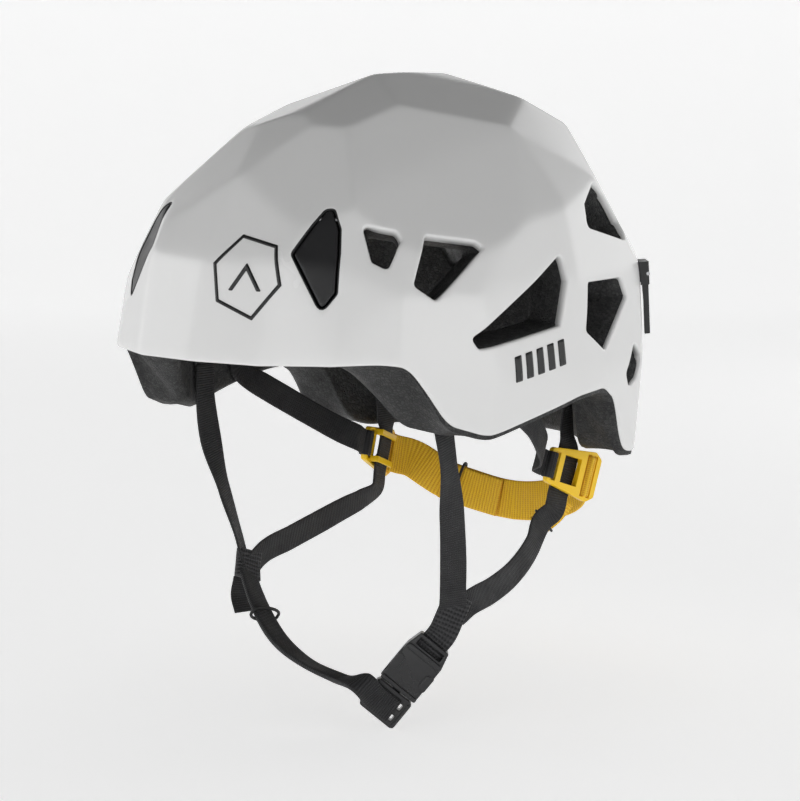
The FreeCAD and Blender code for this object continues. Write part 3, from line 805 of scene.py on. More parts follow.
def buildFoam():
    outerRim = lowerEdge(edges["foam"], foamOuter)
    innerRim = lowerEdge(edges["foam"], cavitySurface, foamWall["rimLift"])
    openings = [grownLoop(loop, foamWall["recess"]) for loop in ventLoops]
    pockets = [grownLoop(loop, (clipForm["gap"] + clipForm["frame"] - 0.2) * mm) for loop in clipLoops]
    flared = []
    for loop in openings:
        places, _ = cavitySurface(directionsTo(loop))
        side = inwardOf(places, -directionsTo(places))
        flared.append(toFlat(places - side * foamWall["flare"]))
    outerFlat, outerFaces, outerRings = flatMesh([outerRim] + [toFlat(l) for l in openings + pockets],
                                                 foamWall["spacing"])
    innerFlat, innerFaces, innerRings = flatMesh([innerRim] + flared, foamWall["innerSpacing"])
    outer, _ = foamOuter(fromFlat(outerFlat))
    inner, _ = cavitySurface(fromFlat(innerFlat))
    wall = Wall()
    wall.sheet(outer, outerFaces)
    start = wall.sheet(inner, innerFaces[:, ::-1])
    # lower edge: a flat underside with a rounded inner corner
    outRing = outerRings[0]
    inRing = [i + start for i in innerRings[0]]
    outPlaces, inPlaces = outer[outRing], wall.at(inRing)
    level = outPlaces - inPlaces
    level[:, 2] = 0
    level /= np.linalg.norm(level, axis=1, keepdims=True)
    down = np.array((0.0, 0.0, -1.0))
    rings = [outPlaces + level * out + down * drop for out, drop in foamWall["outerLip"]]
    rings += [inPlaces + level * out + down * drop for out, drop in foamWall["innerLip"]]
    wall.bridge(wall.follow(outRing, rings), inRing)
    # vent walls, straight in and then flared at the cavity
    for index in range(len(openings)):
        outRing = outerRings[1 + index]
        inRing = [i + start for i in innerRings[1 + index]]
        places = outer[outRing]
        arms = directionsTo(places)
        near, _ = cavitySurface(arms)
        depth = np.linalg.norm(places - near, axis=1, keepdims=True)
        rings = [places - arms * depth * share for share in (0.25, 0.5, 0.75)]
        rings.append(near + arms * np.minimum(depth * 0.2, 0.003))
        rings.append((near + arms * np.minimum(depth * 0.06, 0.0008)) * 0.5 + wall.at(inRing) * 0.5)
        wall.bridge(wall.follow(outRing, rings), inRing)
    # pockets behind the front clips end in a floor
    for index in range(len(pockets)):
        ring = outerRings[1 + len(openings) + index]
        places = outer[ring]
        arms = directionsTo(places)
        floorRing = wall.add(places - arms * foamWall["pocketDepth"])
        wall.bridge(ring, floorRing)
        wall.faces.append(tuple(floorRing))
    return wall.piece("bead_liner", beadFoam, "grey_foam", "helmet", ("foam_liner",))


skinPiece = buildSkin()
print("skin built:", len(skinPiece.data.polygons), "faces")
foamPiece = buildFoam()
print("foam liner built:", len(foamPiece.data.polygons), "faces")


# Front lamp clips: a plate that follows the skin, in a shallow black tray

plateForm = {
    "shrink": 0.0010, "inset": 0.0001, "thickness": 0.0026, "lip": 0.0007, "dish": 0.0005, "spacing": 0.012,
}


def plateOnSkin(name, loop, body, replaced):
    thickness, lip = plateForm["thickness"], plateForm["lip"]
    flat, faces, rings = flatMesh([toFlat(loop)], plateForm["spacing"])
    places, normals = skinSurface(fromFlat(flat), plateForm["inset"])
    away = np.linalg.norm(places - places.mean(0), axis=1)
    hollow = plateForm["dish"] * np.clip(1 - away / away.max(), 0, 1) ** 0.7
    places = places - normals * hollow[:, None]
    wall = Wall()
    wall.sheet(places, faces)
    inner = wall.sheet(places - normals * thickness, faces[:, ::-1])
    ring = rings[0]
    ringPlaces, ringNormals = places[ring], normals[ring]
    side = -inwardOf(ringPlaces, ringNormals)
    shifts = []
    for turn in np.radians((30, 60, 90)):
        shifts.append(side * lip * math.sin(turn) - ringNormals * lip * (1 - math.cos(turn)))
    shifts.append(side * lip - ringNormals * (thickness - lip * 0.5))
    wall.bridge(wall.follow(ring, [ringPlaces + shift for shift in shifts]), [i + inner for i in ring])
    return wall.piece(name, blackPlastic, "black_plastic", body, replaced)


def trayOnSkin(name, loop, body, replaced):
    rimOut = grownLoop(loop, (clipForm["gap"] + clipForm["frame"] - 0.15) * mm)
    rimIn = grownLoop(loop, clipForm["gap"] * mm)
    wall = Wall()
    outPlaces, outNormals = skinSurface(directionsTo(rimOut))
    inPlaces, inNormals = skinSurface(directionsTo(rimIn))
    profile = ((outPlaces, outNormals, 0.0040), (outPlaces, outNormals, 0.0004),
               (outPlaces * 0.75 + inPlaces * 0.25, outNormals, 0.0001),
               (outPlaces * 0.25 + inPlaces * 0.75, inNormals, 0.0001), (inPlaces, inNormals, 0.0005),
               (inPlaces, inNormals, 0.0046))
    rings = [wall.add(places - normals * down) for places, normals, down in profile]
    for one, two in zip(rings, rings[1:]):
        wall.bridge(one, two)
    wall.faces.append(tuple(rings[0][::-1]))
    wall.faces.append(tuple(rings[-1]))
    return wall.piece(name, blackPlastic, "black_plastic", body, replaced)


def buildFrontClips():
    for side, loop in zip(("left", "right"), clipLoops):
        trayOnSkin("clip_tray_" + side, loop, "helmet", ("front_clip_socket_" + side,))
        node = "front_clip_" + side
        plateOnSkin("lamp_plate_" + side, grownLoop(loop, -plateForm["shrink"]), node, (node,))


# Radius of the rounded edges on each kind of moulding, in metres
softEdge = {"tongue": 0.0006, "lugs": 0.0005, "anchor": 0.0008, "divider": 0.0007, "housing": 0.0011,
            "ladder": 0.0008, "prong": 0.0006, "pin": 0.0002}

buildFrontClips()
for side in ("left", "right"):
    softenedCopy("rear_clip_" + side, "rear_tongue_" + side, softEdge["tongue"], blackPlastic,
                 "rear_clip_" + side)
    softenedCopy("rear_clip_base_" + side, "rear_lugs_" + side, softEdge["lugs"], blackPlastic,
                 "helmet")
    for spot in ("front", "temple", "rear"):
        softenedCopy(f"{spot}_strap_anchor_{side}", f"{spot}_anchor_{side}", softEdge["anchor"], blackPlastic,
                     "helmet")
print("clips and anchors built")


# Webbing

def hermiteRoute(stations, step):
    centres = np.array([centre for centre, across in stations], float) * mm
    sides = np.array([across for centre, across in stations], float)
    sides /= np.linalg.norm(sides, axis=1, keepdims=True)
    chords = np.linalg.norm(np.diff(centres, axis=0), axis=1)
    slopes = np.diff(centres, axis=0) / chords[:, None]
    tangents = np.empty_like(centres)
    tangents[0], tangents[-1] = slopes[0], slopes[-1]
    for i in range(1, len(centres) - 1):
        before, after = chords[i - 1], chords[i]
        tangents[i] = (slopes[i - 1] * after + slopes[i] * before) / (before + after)
    points, across = [], []
    for i, chord in enumerate(chords):
        count = max(2, math.ceil(chord / (step / 4)))
        for t in np.linspace(0, 1, count, endpoint=False):
            a, b = 2 * t ** 3 - 3 * t ** 2 + 1, t ** 3 - 2 * t ** 2 + t
            c, d = -2 * t ** 3 + 3 * t ** 2, t ** 3 - t ** 2
            leaving, arriving = tangents[i] * chord, tangents[i + 1] * chord
            points.append(centres[i] * a + leaving * b + centres[i + 1] * c + arriving * d)
            ease = t * t * (3 - 2 * t)
            across.append(sides[i] * (1 - ease) + sides[i + 1] * ease)
    points.append(centres[-1])
    across.append(sides[-1])
    points, across = np.array(points), np.array(across)
    gone = np.concatenate(([0], np.cumsum(np.linalg.norm(np.diff(points, axis=0), axis=1))))
    count = max(3, round(gone[-1] / step))
    marks = np.linspace(0, gone[-1], count + 1)
    points = np.stack([np.interp(marks, gone, points[:, k]) for k in range(3)], 1)
    across = np.stack([np.interp(marks, gone, across[:, k]) for k in range(3)], 1)
    return points, across, marks


# Half of the tape's section, as shares of its half width and half thickness; the other half mirrors it
tapeTop = [(-1, 0), (-0.97, 0.72), (-0.88, 1), (-0.6, 1), (-0.3, 1), (0, 1), (0.3, 1), (0.6, 1), (0.88, 1),
           (0.97, 0.72)]
tapeProfile = tapeTop + [(-x, -z) for x, z in tapeTop]


def tapeMesh(points, across, marks, width, thick, rib, ribDepth, closed=False):
    count = len(points)
    if closed:
        along = np.roll(points, -1, 0) - np.roll(points, 1, 0)
    else:
        along = np.gradient(points, axis=0)
    along /= np.linalg.norm(along, axis=1, keepdims=True)
    side = across - along * (across * along).sum(1, keepdims=True)
    side /= np.linalg.norm(side, axis=1, keepdims=True)
    face = np.cross(along, side)
    wave = 1 - ribDepth * (0.5 - 0.5 * np.cos(2 * math.pi * marks / rib))
    verts, uvs = [], []
    for x, z in tapeProfile:
        swell = wave if abs(z) == 1 else np.ones(count)
        offset = side * (x * width / 2) + face * ((z * thick / 2) * swell)[:, None]
        verts.append(points + offset)
        uvs.append(np.stack((np.full(count, x * width / 2), marks), 1))
    ringSize = len(tapeProfile)
    verts = np.stack(verts, 1).reshape(-1, 3)
    uvs = np.stack(uvs, 1).reshape(-1, 2)
    faces = []
    for i in range(count if closed else count - 1):
        j = (i + 1) % count
        for k in range(ringSize):
            m = (k + 1) % ringSize
            faces.append((i * ringSize + k, i * ringSize + m, j * ringSize + m, j * ringSize + k))
    if not closed:
        faces.append(tuple(range(ringSize)))
        faces.append(tuple(range((count - 1) * ringSize, count * ringSize))[::-1])
    return verts, faces, uvs


def layCoordinates(piece, uvs):
    layer = piece.data.uv_layers.new(name="tape")
    for loop in piece.data.loops:
        layer.data[loop.index].uv = uvs[loop.vertex_index]


# Widths, thicknesses, rib pitches and steps in millimetres; ribDepth is a share of the thickness
tapes = {
    "black": {"width": 13, "thick": 1.3, "rib": 1.15, "ribDepth": 0.22, "step": 0.38,
              "material": blackTape, "slot": "black_webbing"},
    "sleeve": {"width": 13, "thick": 4.2, "rib": 2.1, "ribDepth": 0.24, "step": 0.4,
               "material": sleeveTape, "slot": "black_webbing"},
    "yellow": {"width": 20, "thick": 1.5, "rib": 1.7, "ribDepth": 0.34, "step": 0.42,
               "material": yellowTape, "slot": "yellow_webbing"},
}


def tape(name, stations, look, body, replaced=(), width=None, thick=None):
    style = tapes[look]
    points, across, marks = hermiteRoute(stations, style["step"] * mm)
    width = (width or style["width"]) * mm
    thick = (thick or style["thick"]) * mm
    verts, faces, uvs = tapeMesh(points, across, marks, width, thick, style["rib"] * mm, style["ribDepth"])
    piece = newPiece(name, verts, faces, style["material"], body, replaced)
    layCoordinates(piece, uvs)
    return piece


# Divider plates behind the ears: local x runs back, y up, z outwards
dividerAxes = localAxes((61.5, 70.2, -63), (0.23, 0.92, -0.32), (0.05, 0.32, 0.95))
dividerBack, dividerUp = (tuple(dividerAxes.to_3x3().col[k]) for k in range(2))


def onDivider(x, y, z):
    return tuple(dividerAxes @ (Vector((x, y, z)) * mm) / mm)


# Side-release buckle: local x across, y from the sleeve towards the free end, z outwards
buckleAxes = localAxes((57, -30, -131), (0.621, 0.463, -0.628), (-0.47, -0.42, -0.775))
buckleAcross, buckleRun = (tuple(buckleAxes.to_3x3().col[k]) for k in range(2))


def onBuckle(x, y, z):
    return tuple(buckleAxes @ (Vector((x, y, z)) * mm) / mm)


def swapSides(station):
    (x, y, z), (ax, ay, az) = station
    return ((-x, y, z), (-ax, ay, az))


# Where each strap runs on the wearer's left: its middle in millimetres and the direction across it
routes = {
    "front": [((73.5, -45.8, -10.2), (0.1, 1, 0)), ((73.5, -45.8, -22), (0.05, 1, 0)),
              ((74, -42, -45), (-0.1, 1, 0)), ((71, -35.5, -72), (0.35, 0.93, 0)),
              ((67, -29.5, -96), (0.5, 0.86, 0)), ((65.2, -27.4, -107), (0.5, 0.86, 0)),
              ((63.6, -25.4, -115), (0.5, 0.75, -0.3))],
    "temple": [((83.4, -11.2, -10.2), (0.05, 1, 0)), ((83.2, -11.1, -15), (0.05, 1, 0)),
               ((82.4, -5.5, -20.5), (0, 0.97, 0.25)), ((80.5, 3, -25.5), (-0.15, 0.9, 0.45)),
               ((77.5, 16, -33), (-0.15, 0.65, 0.75)), ((71.5, 31, -42.5), (0, 0.45, 0.9)),
               ((64, 43, -50.5), (0, 0.35, 0.94))],
    "earTop": [((58.2, 72, -10.2), (-0.62, 0.78, 0)), ((58, 71.8, -20), (-0.45, 0.89, 0)),
               ((57.2, 71.6, -45), (-0.15, 0.98, 0))],
    "earLeft": [((54, 57, -86), (0.15, 0.85, -0.5)), ((55, 47, -97), (0, 0.68, -0.73)),
                ((58.5, 28, -106.5), (0.05, 0.4, -0.9)), ((61.5, 6, -112), (0.1, 0.15, -0.98)),
                ((63.3, -12, -114.5), (0.1, 0.3, -0.95)), ((62.6, -21, -118), (0.3, 0.5, -0.8))],
    "earRight": [((-59, 52.5, -87.5), (-0.1, 0.8, -0.6)), ((-61, 43, -90.5), (-0.1, 0.55, -0.83)),
                 ((-62, 26, -95), (-0.05, 0.4, -0.9)), ((-62.8, 4, -100.5), (-0.05, 0.4, -0.9)),
                 ((-63.4, -17, -106), (-0.1, 0.4, -0.9)), ((-63.2, -25, -111), (-0.1, 0.6, -0.8))],
    "chin": [((15, -50, -150.5), (-0.1, -0.97, 0.1)), ((-6, -49, -146.5), (-0.1, -0.97, 0.2)),
             ((-26, -44.5, -140), (0, -0.95, 0.1)), ((-48, -36, -126), (0.2, -0.9, 0)),
             ((-62.5, -29, -112), (0.3, -0.9, 0))],
    "chinTail": [((-65.4, -27.6, -116), (0.3, 0.95, 0)), ((-66.5, -28.5, -125), (0.3, 0.95, 0)),
                 ((-63, -29.5, -133), (0.3, 0.95, 0))],
    "nape": [((40, 98, -80), (0, 0.12, 0.99)), ((25, 103, -84.5), (0, 0.12, 0.99)),
             ((8, 105, -87.5), (0, 0.12, 0.99))],
}


def buildStraps():
    approach = [(onDivider(-24, 0.6, 0.3), dividerUp), (onDivider(-18.6, 0, 0), dividerUp)]
    passing = [(onDivider(-2.1, y, z), dividerBack) for y, z in ((9, -3.9), (-12, -3.9), (-20.5, -4.1))]
    ears = {"left": routes["earTop"] + passing + routes["earLeft"],
            "right": [swapSides(s) for s in routes["earTop"] + passing] + routes["earRight"]}
    for side in ("left", "right"):
        turned = (lambda s: s) if side == "left" else swapSides
        front = [turned(station) for station in routes["front"]]
        temple = [turned(station) for station in routes["temple"] + approach]
        tape("front_web_" + side, front, "black", "helmet", ("front_strap_" + side,))
        web = tape("temple_web_" + side, temple, "black", None, ("temple_strap_" + side,))
        start, stop = Vector(turned(routes["temple"][3])[0]) * mm, Vector(turned(approach[0])[0]) * mm
        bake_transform(web)
        tape("ear_web_" + side, ears[side], "black", "helmet", ("ear_strap_" + side,))


buildStraps()


def buildChinWebbing():
    sleeve = [((64.6, -22.6, -110), (0.4, 0.75, -0.55)), ((62, -25.4, -119), (0.55, 0.5, -0.65)),
              (onBuckle(0, -4.5, 0), buckleAcross), (onBuckle(0, 1, 0), buckleAcross),
              (onBuckle(0, 6.2, 0), buckleAcross)]
    tape("chin_sleeve", sleeve, "sleeve", "helmet", ("chin_sleeve_left",), 13.6)
    knot = [((-64.6, -24.6, -103.5), (0.1, 0.95, -0.3)), ((-63.4, -27, -110), (0.1, 0.9, -0.4)),
            ((-61, -30, -116), (0.2, 0.85, -0.4))]
    tape("right_join_sleeve", knot, "sleeve", "helmet", (), 14.5, 4.6)
    ends = [(onBuckle(5, 36.5, -5.6), buckleRun), (onBuckle(-6, 36.5, -5.6), buckleRun),
            (onBuckle(-13, 35, -8), (-0.35, -0.8, -0.45))]
    chin = tape("chin_web", ends + routes["chin"], "black", None, ("chin_strap_right",), 12, 2.6)
    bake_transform(chin)
    tape("chin_tail", routes["chinTail"], "black", "helmet", ("chin_tail_right",), 12)


buildChinWebbing()


# Webbing folded round a divider bar, in millimetres
foldForm = {"plateHalf": 1.5, "gap": 0.12, "ribShare": 0.6}


def foldRound(name, axes, bar, half, thick, look, body, replaced):
    air = foldForm["gap"] + thick / 2
    low, high = bar[0] - air, bar[1] + air
    deep = foldForm["plateHalf"] + air
    bend = min((high - low) / 2, deep) * 0.75
    corners = [(low, deep), (high, deep), (high, -deep), (low, -deep)]
    outline = roundedOutline([(x, 0, z) for x, z in corners], bend, 0.35) / mm
    points = np.array([tuple(axes @ (Vector(p) * mm)) for p in outline])
    lengths = np.linalg.norm(np.roll(points, -1, 0) - points, axis=1)
    marks = np.concatenate(([0], np.cumsum(lengths)[:-1]))
    across = np.tile(np.array(axes.to_3x3().col[1]), (len(points), 1))
    style = tapes[look]
    verts, faces, uvs = tapeMesh(points, across, marks, half * 2 * mm, thick * mm, style["rib"] * mm,
                                 style["ribDepth"] * foldForm["ribShare"], closed=True)
    piece = newPiece(name, verts, faces, style["material"], body, replaced)
    layCoordinates(piece, uvs)
    return piece


def buildDividers():
    for side in ("left", "right"):
        axes = dividerAxes if side == "left" else mirroredAxes(dividerAxes)
        body = "divider_" + side
        softenedCopy("strap_divider_" + side, "divider_plate_" + side, softEdge["divider"], yellowPlastic,
                     body)
        foldRound("temple_fold_" + side, axes, (-16, -13.6), 6.4, 1.35, "black", body, ("temple_loop_" + side,))
        foldRound("nape_fold_" + side, axes, (9.2, 10.8), 9.9, 1.15, "yellow", body, ("nape_loop_" + side,))


buildDividers()


def buildNape():
    start = [(onDivider(9.6, 0, -3.4), dividerUp), (onDivider(13.5, 0, -4.8), dividerUp),
             (onDivider(19, 0, -9), dividerUp)]
    left = start + routes["nape"]
    middle = ((-0.6, 105.3, -88), (0, 0.12, 0.99))
    halves = {"left": left + [middle], "right": [swapSides(s) for s in left + [middle]]}
    for side, stations in halves.items():
        band = tape("nape_band_" + side, stations, "yellow", None, ("nape_strap",) if side == "left" else ())
        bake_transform(band)
    laid = []
    for (x, y, z), across in [swapSides(station) for station in routes["nape"]]:
        laid.append(((x * 0.985, y - 1.9, z), across))
    tape("nape_tail_flat", laid, "yellow", "helmet", ("nape_tail_right",), 19.6, 1.3)
    tail = [(onDivider(*local), dividerBack) for local in ((5, -13.6, -7), (2.5, -22, -10), (-2, -30, -14))]
    tape("nape_tail_loose", tail, "yellow", "divider_left", ("nape_tail_left",), 15, 1.3)


buildNape()
print("webbing built")


# Rubber rings round the webbing

def ringRound(name, form):
    node, halfWidth, halfThick, radius = (form[key] for key in ("node", "halfWidth", "halfThick", "radius"))
    run = Vector(form["run"]).normalized()
    side = Vector(form["across"])
    side = (side - run * side.dot(run)).normalized()
    face = run.cross(side)
    low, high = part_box(node)
    centre = (low + high) / 2
    around, tube = 56, 12
    verts, faces = [], []
    for i in range(around):
        turn = 2 * math.pi * i / around
        c, s = math.cos(turn), math.sin(turn)
        square = (abs(c) ** 2.6 + abs(s) ** 2.6) ** (-1 / 2.6)
        spot = centre + side * (halfWidth * mm * c * square) + face * (halfThick * mm * s * square)
        out = (side * c / halfWidth + face * s / halfThick).normalized()
        for k in range(tube):
            roll = 2 * math.pi * k / tube
            verts.append(spot + out * (radius * mm * math.cos(roll)) + run * (radius * mm * math.sin(roll)))
    for i in range(around):
        j = (i + 1) % around
        for k in range(tube):
            m = (k + 1) % tube
            faces.append((i * tube + k, j * tube + k, j * tube + m, i * tube + m))
    return newPiece(name, verts, faces, ringRubber, node, (node,))


# Half sizes and cord radius in millimetres; run is the way the webbing goes through
ringForms = {
    "nape_ring": {"node": "nape_keeper_ring", "run": (0.912, 0.304, -0.274), "across": (0, 0.12, 0.99),
                  "halfWidth": 11.6, "halfThick": 3.7, "radius": 0.75},
    "tail_ring": {"node": "tail_keeper_ring", "run": (-0.531, -0.573, -0.624), "across": dividerBack,
                  "halfWidth": 8.4, "halfThick": 1.75, "radius": 0.65},
    "chin_ring": {"node": "chin_keeper_ring", "run": (-0.802, 0.31, 0.51), "across": (-0.1, 0.93, -0.05),
                  "halfWidth": 7.8, "halfThick": 3.8, "radius": 0.8},
}
for name, form in ringForms.items():
    ringRound(name, form)


# Buckle

softenedCopy("buckle_female", "buckle_housing", softEdge["housing"], buckleBlack, "helmet", 4)
softenedCopy("buckle_male", "buckle_ladder", softEdge["ladder"], buckleBlack, "buckle_male", 4)
for end in ("rear", "front"):
    node = "buckle_prong_" + end
    softenedCopy(node, "prong_" + end, softEdge["prong"], buckleBlack, node)


# Raised parts of the housing and of the ladder, drawn in the buckle's own axes
def buckleBlock(name, outline, low, high, body, corner=1.2, edge=0.0006):
    loop = roundedOutline([(x, y, 0) for x, y in outline], corner, 1.0) / mm
    points = [tuple(buckleAxes @ (Vector((x, y, z)) * mm)) for z in (low, high) for x, y, _ in loop]
    count = len(loop)
    faces = [tuple(range(count))[::-1], tuple(range(count, 2 * count))]
    faces += [(i, (i + 1) % count, count + (i + 1) % count, count + i) for i in range(count)]
    piece = newPiece(name, points, faces, buckleBlack, body)
    bevel = piece.modifiers.new("softEdges", "BEVEL")
    bevel.width = edge
    bevel.segments = 3
    bevel.limit_method = "ANGLE"
    return piece


buckleBlock("housing_collar", [(-9.4, 6.6), (9.4, 6.6), (9.8, 9.6), (-9.8, 9.6)], -4.9, -3.6, "helmet")
buckleBlock("housing_lip", [(-10, 25.6), (10, 25.6), (10, 27.8), (-10, 27.8)], -4.8, -3.6, "helmet")
for side in (-1, 1):
    window = [(side * 10.3, 12.5), (side * 6.4, 14), (side * 6.4, 20.5), (side * 10.3, 22)]
    buckleBlock(f"finger_pad_{side + 2}", window, -4.6, -3.7, "helmet", 1.6)
    rib = [(side * 9.8, 30), (side * 8.3, 30), (side * 8.3, 43.4), (side * 9.8, 43.4)]
    buckleBlock(f"ladder_rib_{side + 2}", rib, -4.2, -3.1, "buckle_male", 0.6, 0.0004)
print("buckle and rings built")


# Pads

def padOnCavity(name, form):
    seam, thickness, edgeThickness = form["seam"], form["thickness"], 0.0012
    loop = roundedOutline(form["outline"], form["corner"], 1.6)
    places, _ = cavitySurface(directionsTo(loop))
    flat, faces, rings = flatMesh([toFlat(places)], 0.022)
    arms = fromFlat(flat)
    back, _ = cavitySurface(arms, 0.0008)
    border = flat[rings[0]]
    tree = kdtree.KDTree(len(border))
    for index, point in enumerate(border):
        tree.insert((point[0], point[1], 0), index)
    tree.balance()
    reach = np.array([tree.find((p[0], p[1], 0))[2] for p in flat]) * 0.1
    crown = 1 - np.exp(-reach / 0.0035)
    if seam:
        crown *= 1 - 0.45 * np.exp(-((reach - seam) / 0.0011) ** 2)
    front = back - arms * (edgeThickness + (thickness - edgeThickness) * crown)[:, None]
    wall = Wall()
    wall.sheet(back, faces)
    start = wall.sheet(front, faces[:, ::-1])
    ring = rings[0]
    swell = (back[ring] + front[ring]) / 2 - inwardOf(back[ring], arms[ring]) * 0.0006
    middle = wall.add(swell)
    wall.bridge(ring, middle)
    wall.bridge(middle, [i + start for i in ring])
    piece = wall.piece(name, padCloth, "pad_fabric", "helmet", (form["node"],))
    return piece


# Outlines and corner radii in millimetres, thickness and the seam's distance from the edge in metres
pads = {
    "brow_cushion": {"node": "brow_pad", "thickness": 0.0062, "corner": 6, "seam": 0.0045,
                     "outline": [(-44, -94, 12), (44, -94, 12), (44, -90, 31), (20, -98, 31), (-20, -98, 31),
                                 (-44, -90, 31)]},
    "crown_cushion": {"node": "crown_pad", "thickness": 0.0065, "corner": 8, "seam": 0.0045,
                      "outline": [(-14, -40, 96), (14, -40, 96), (14, 42, 96), (-14, 42, 96)]},
    "nape_cushion": {"node": "nape_pad", "thickness": 0.006, "corner": 6, "seam": 0.0045,
                     "outline": [(-32, 102, -33), (32, 102, -33), (32, 102, -14), (-32, 102, -14)]},
    "side_cushion_left": {"node": "side_pad_left", "thickness": 0.0045, "corner": 4, "seam": None,
                          "outline": [(84, 7, -11), (82, 27, -11), (82, 27, 5), (84, 7, 5)]},
    "side_cushion_right": {"node": "side_pad_right", "thickness": 0.0045, "corner": 4, "seam": None,
                           "outline": [(-84, 7, -11), (-84, 7, 5), (-82, 27, 5), (-82, 27, -11)]},
}
for name, form in pads.items():
    padOnCavity(name, form)
print("pads built")


# Plain printed marks on the skin

filmForm = {"proud": 0.00018, "sunk": 0.0001, "spacing": 0.016}


def filmOnSkin(name, outline, holes, axes):
    def lift(points, corner):
        placed = [tuple(axes @ (Vector((x, y, 0)) * mm) / mm) for x, y in points]
        return grownLoop(roundedOutline(placed, corner, 1.2), 0)
    loops = [toFlat(lift(outline, 0.6))] + [toFlat(lift(hole, 0.5)) for hole in holes]
    flat, faces, rings = flatMesh(loops, filmForm["spacing"])
    places, normals = skinSurface(fromFlat(flat))
    wall = Wall()
    wall.sheet(places + normals * filmForm["proud"], faces)
    start = wall.sheet(places - normals * filmForm["sunk"], faces[:, ::-1])
    for ring in rings:
        wall.bridge(ring, [i + start for i in ring])
    return wall.piece(name, printInk, "black_plastic", "helmet")


# A lopsided six-sided outline
def hexOutline(halfWidth, halfHeight, shrink=0.0):
    w, h = halfWidth - shrink, halfHeight - shrink
    corners = ((-1, 0.28), (-0.35, 1), (0.75, 0.72), (1, -0.2), (0.3, -1), (-0.8, -0.62))
    return [(x * w, y * h) for x, y in corners]


markAxes = localAxes((24, -125, 42), (0.95, 0.31, 0), (0, 0.2, 0.98))
filmOnSkin("front_mark", hexOutline(19, 20), [hexOutline(19, 20, 1.9)], markAxes)
filmOnSkin("front_mark_bar", [(-9, -7), (0, 6), (9, -7), (6.6, -7), (0, 2.4), (-6.6, -7)], [], markAxes)


sideBarForm = {"count": 5, "first": -17.5, "pitch": 7.6, "width": 4.6, "halfHeight": 5.5, "slant": 1.1}


def sideBars(side):
    axes = localAxes((103, -16, 2), (0, 0.985, 0.17), (0.03, -0.17, 0.985))
    if side == "right":
        axes = mirroredAxes(axes)
    width, half, slant, pitch = (sideBarForm[key] for key in ("width", "halfHeight", "slant", "pitch"))
    for index in range(sideBarForm["count"]):
        left = sideBarForm["first"] + index * pitch
        bar = [(left, -half), (left + width, -half), (left + width + slant, half), (left + slant, half)]
        filmOnSkin(f"side_bar_{side}_{index + 1}", bar, [], axes)


sideBars("left")
sideBars("right")
print("marks built")


# CAD nodes that stay as they are

# The front pins sit deeper than in the frame, because the flats above them come lower
pinSink = Vector((-0.503, 0.785, -0.362)) * 1.6 * mm
for side, mirror in (("left", 1), ("right", -1)):
    pin = softenedCopy("front_clip_pin_" + side, "plate_pin_" + side, softEdge["pin"], pinSteel,
                       "helmet")
    pin.data.transform(Matrix.Translation(Vector((pinSink.x * mirror, pinSink.y, pinSink.z))))

keptNodes = {"pad_hook_dots": hookTape}
for side in ("left", "right"):
    keptNodes["rear_clip_pin_" + side] = pinSteel
for node, material in keptNodes.items():
    cadNodes[node].data.materials.clear()
    cadNodes[node].data.materials.append(material)


# Floor, light and camera

stageLook = {
    "drop": 0.0015,            # the floor stays this far under the lowest point
    "flatOut": 2.2, "bend": 1.0, "wallTop": 1.5,
    "colour": (0.9, 0.9, 0.9),
    "glow": 0.5,              # the paper's own light, which keeps the background white
    "overhead": 0.12,          # light from straight above, low so that the crown reads darker than the walls
}


def buildStage():
    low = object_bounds()[0][2] - stageLook["drop"]
    rings, verts, faces = [], [], []
    flatOut, bend = stageLook["flatOut"], stageLook["bend"]
    profile = [(0.02, 0), (0.6, 0), (1.4, 0), (flatOut, 0)]
    for turn in np.radians(np.arange(1, 13) * 7.5):
        profile.append((flatOut + bend * math.sin(turn), bend * (1 - math.cos(turn))))
    profile.append((flatOut + bend, stageLook["wallTop"]))
    count = 96
    for radius, height in profile:
        rings.append(len(verts))
        for i in range(count):
            turn = 2 * math.pi * i / count
            verts.append((radius * math.cos(turn), radius * math.sin(turn), low + height))
    for one, two in zip(rings, rings[1:]):
        for i in range(count):
            j = (i + 1) % count
            faces.append((one + i, two + i, two + j, one + j))
    faces.append(tuple(range(count)))
    mesh = bpy.data.meshes.new("studio_floor")
    mesh.from_pydata(verts, [], faces)
    mesh.shade_smooth()
    floor = bpy.data.objects.new("studio_floor", mesh)
    bpy.context.scene.collection.objects.link(floor)
    material, _, shader = newMaterial("palePaper", stageLook["colour"], 0.9)
    shader.inputs["Emission Color"].default_value = (1, 1, 1, 1)
    shader.inputs["Emission Strength"].default_value = stageLook["glow"]
    mesh.materials.append(material)


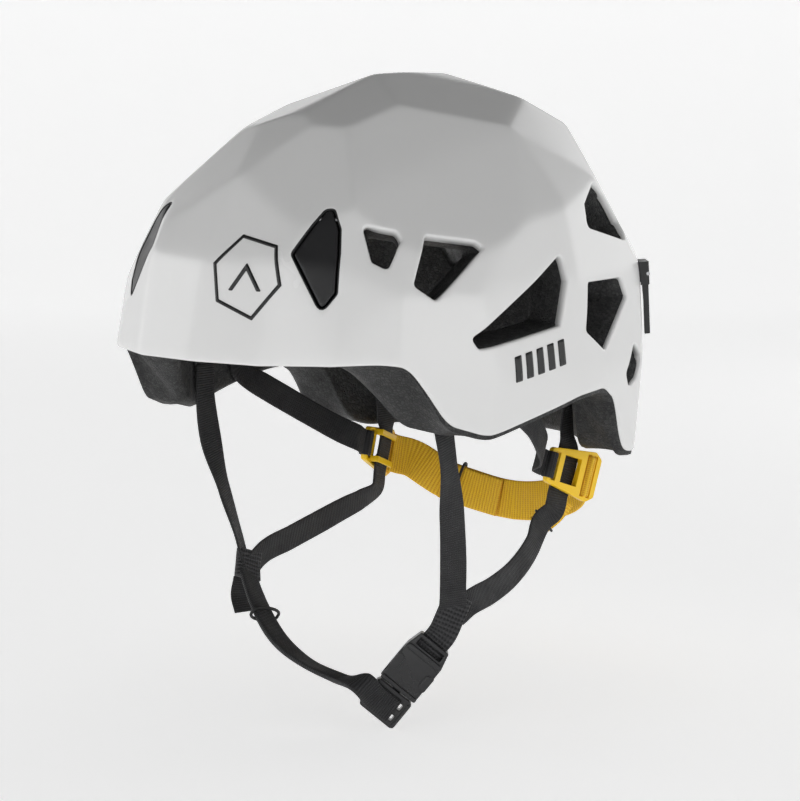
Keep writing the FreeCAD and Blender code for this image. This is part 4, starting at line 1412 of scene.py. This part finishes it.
lamps = {
    "frontSoftbox": {"at": (0.15, -1.5, 0.25), "size": (1.3, 0.9), "power": 3},
    "leftSoftbox": {"at": (1.5, 0.25, 0.25), "size": (1.2, 0.9), "power": 2.5},
    "farSoftbox": {"at": (-1.4, -0.6, 0.2), "size": (1.0, 0.9), "power": 2},
    "backSoftbox": {"at": (0.2, 1.5, 0.5), "size": (1.2, 0.8), "power": 2},
}
lampAim = Vector((0, 0, 0.02))


def areaLight(name, form):
    data = bpy.data.lights.new(name, "AREA")
    data.shape = "RECTANGLE"
    data.size, data.size_y = form["size"]
    data.energy = form["power"]
    lamp = bpy.data.objects.new(name, data)
    bpy.context.scene.collection.objects.link(lamp)
    lamp.visible_camera = False
    lamp.location = form["at"]
    lamp.rotation_euler = (lampAim - Vector(form["at"])).to_track_quat("-Z", "Y").to_euler()


def buildLights():
    world = bpy.data.worlds.new("studioAir")
    world.use_nodes = True
    world.node_tree.nodes["Background"].inputs[0].default_value = (1, 1, 1, 1)
    world.node_tree.nodes["Background"].inputs[1].default_value = stageLook["overhead"]
    bpy.context.scene.world = world
    bpy.context.scene.view_settings.view_transform = "Standard"
    for name, form in lamps.items():
        areaLight(name, form)


cameraSetup = {"turn": 40, "lift": 4, "distance": 1200, "target": (0, 0, 40), "lens": 113.4,
               "aimRight": 17.7 / 2520, "aimDown": 138.5 / 2520}


def buildCamera():
    turn, lift = math.radians(cameraSetup["turn"]), math.radians(cameraSetup["lift"])
    back = Vector((math.sin(turn) * math.cos(lift), -math.cos(turn) * math.cos(lift), math.sin(lift)))
    right = Vector((math.cos(turn), math.sin(turn), 0))
    up = back.cross(right)
    data = bpy.data.cameras.new("mainCamera")
    data.lens = cameraSetup["lens"]
    data.sensor_width = 36
    data.sensor_fit = "HORIZONTAL"
    data.clip_start, data.clip_end = 0.05, 20
    camera = bpy.data.objects.new("mainCamera", data)
    bpy.context.scene.collection.objects.link(camera)
    aim = (-back + right * cameraSetup["aimRight"] - up * cameraSetup["aimDown"]).normalized()
    across = aim.cross(up).normalized()
    raised = across.cross(aim)
    turned = Matrix((across, raised, -aim)).transposed().to_4x4()
    stand = Vector(cameraSetup["target"]) + back * cameraSetup["distance"]
    camera.matrix_world = Matrix.Translation(stand * mm) @ turned
    bpy.context.scene.camera = camera


buildStage()
buildLights()
buildCamera()
print("stage, lights and camera ready")
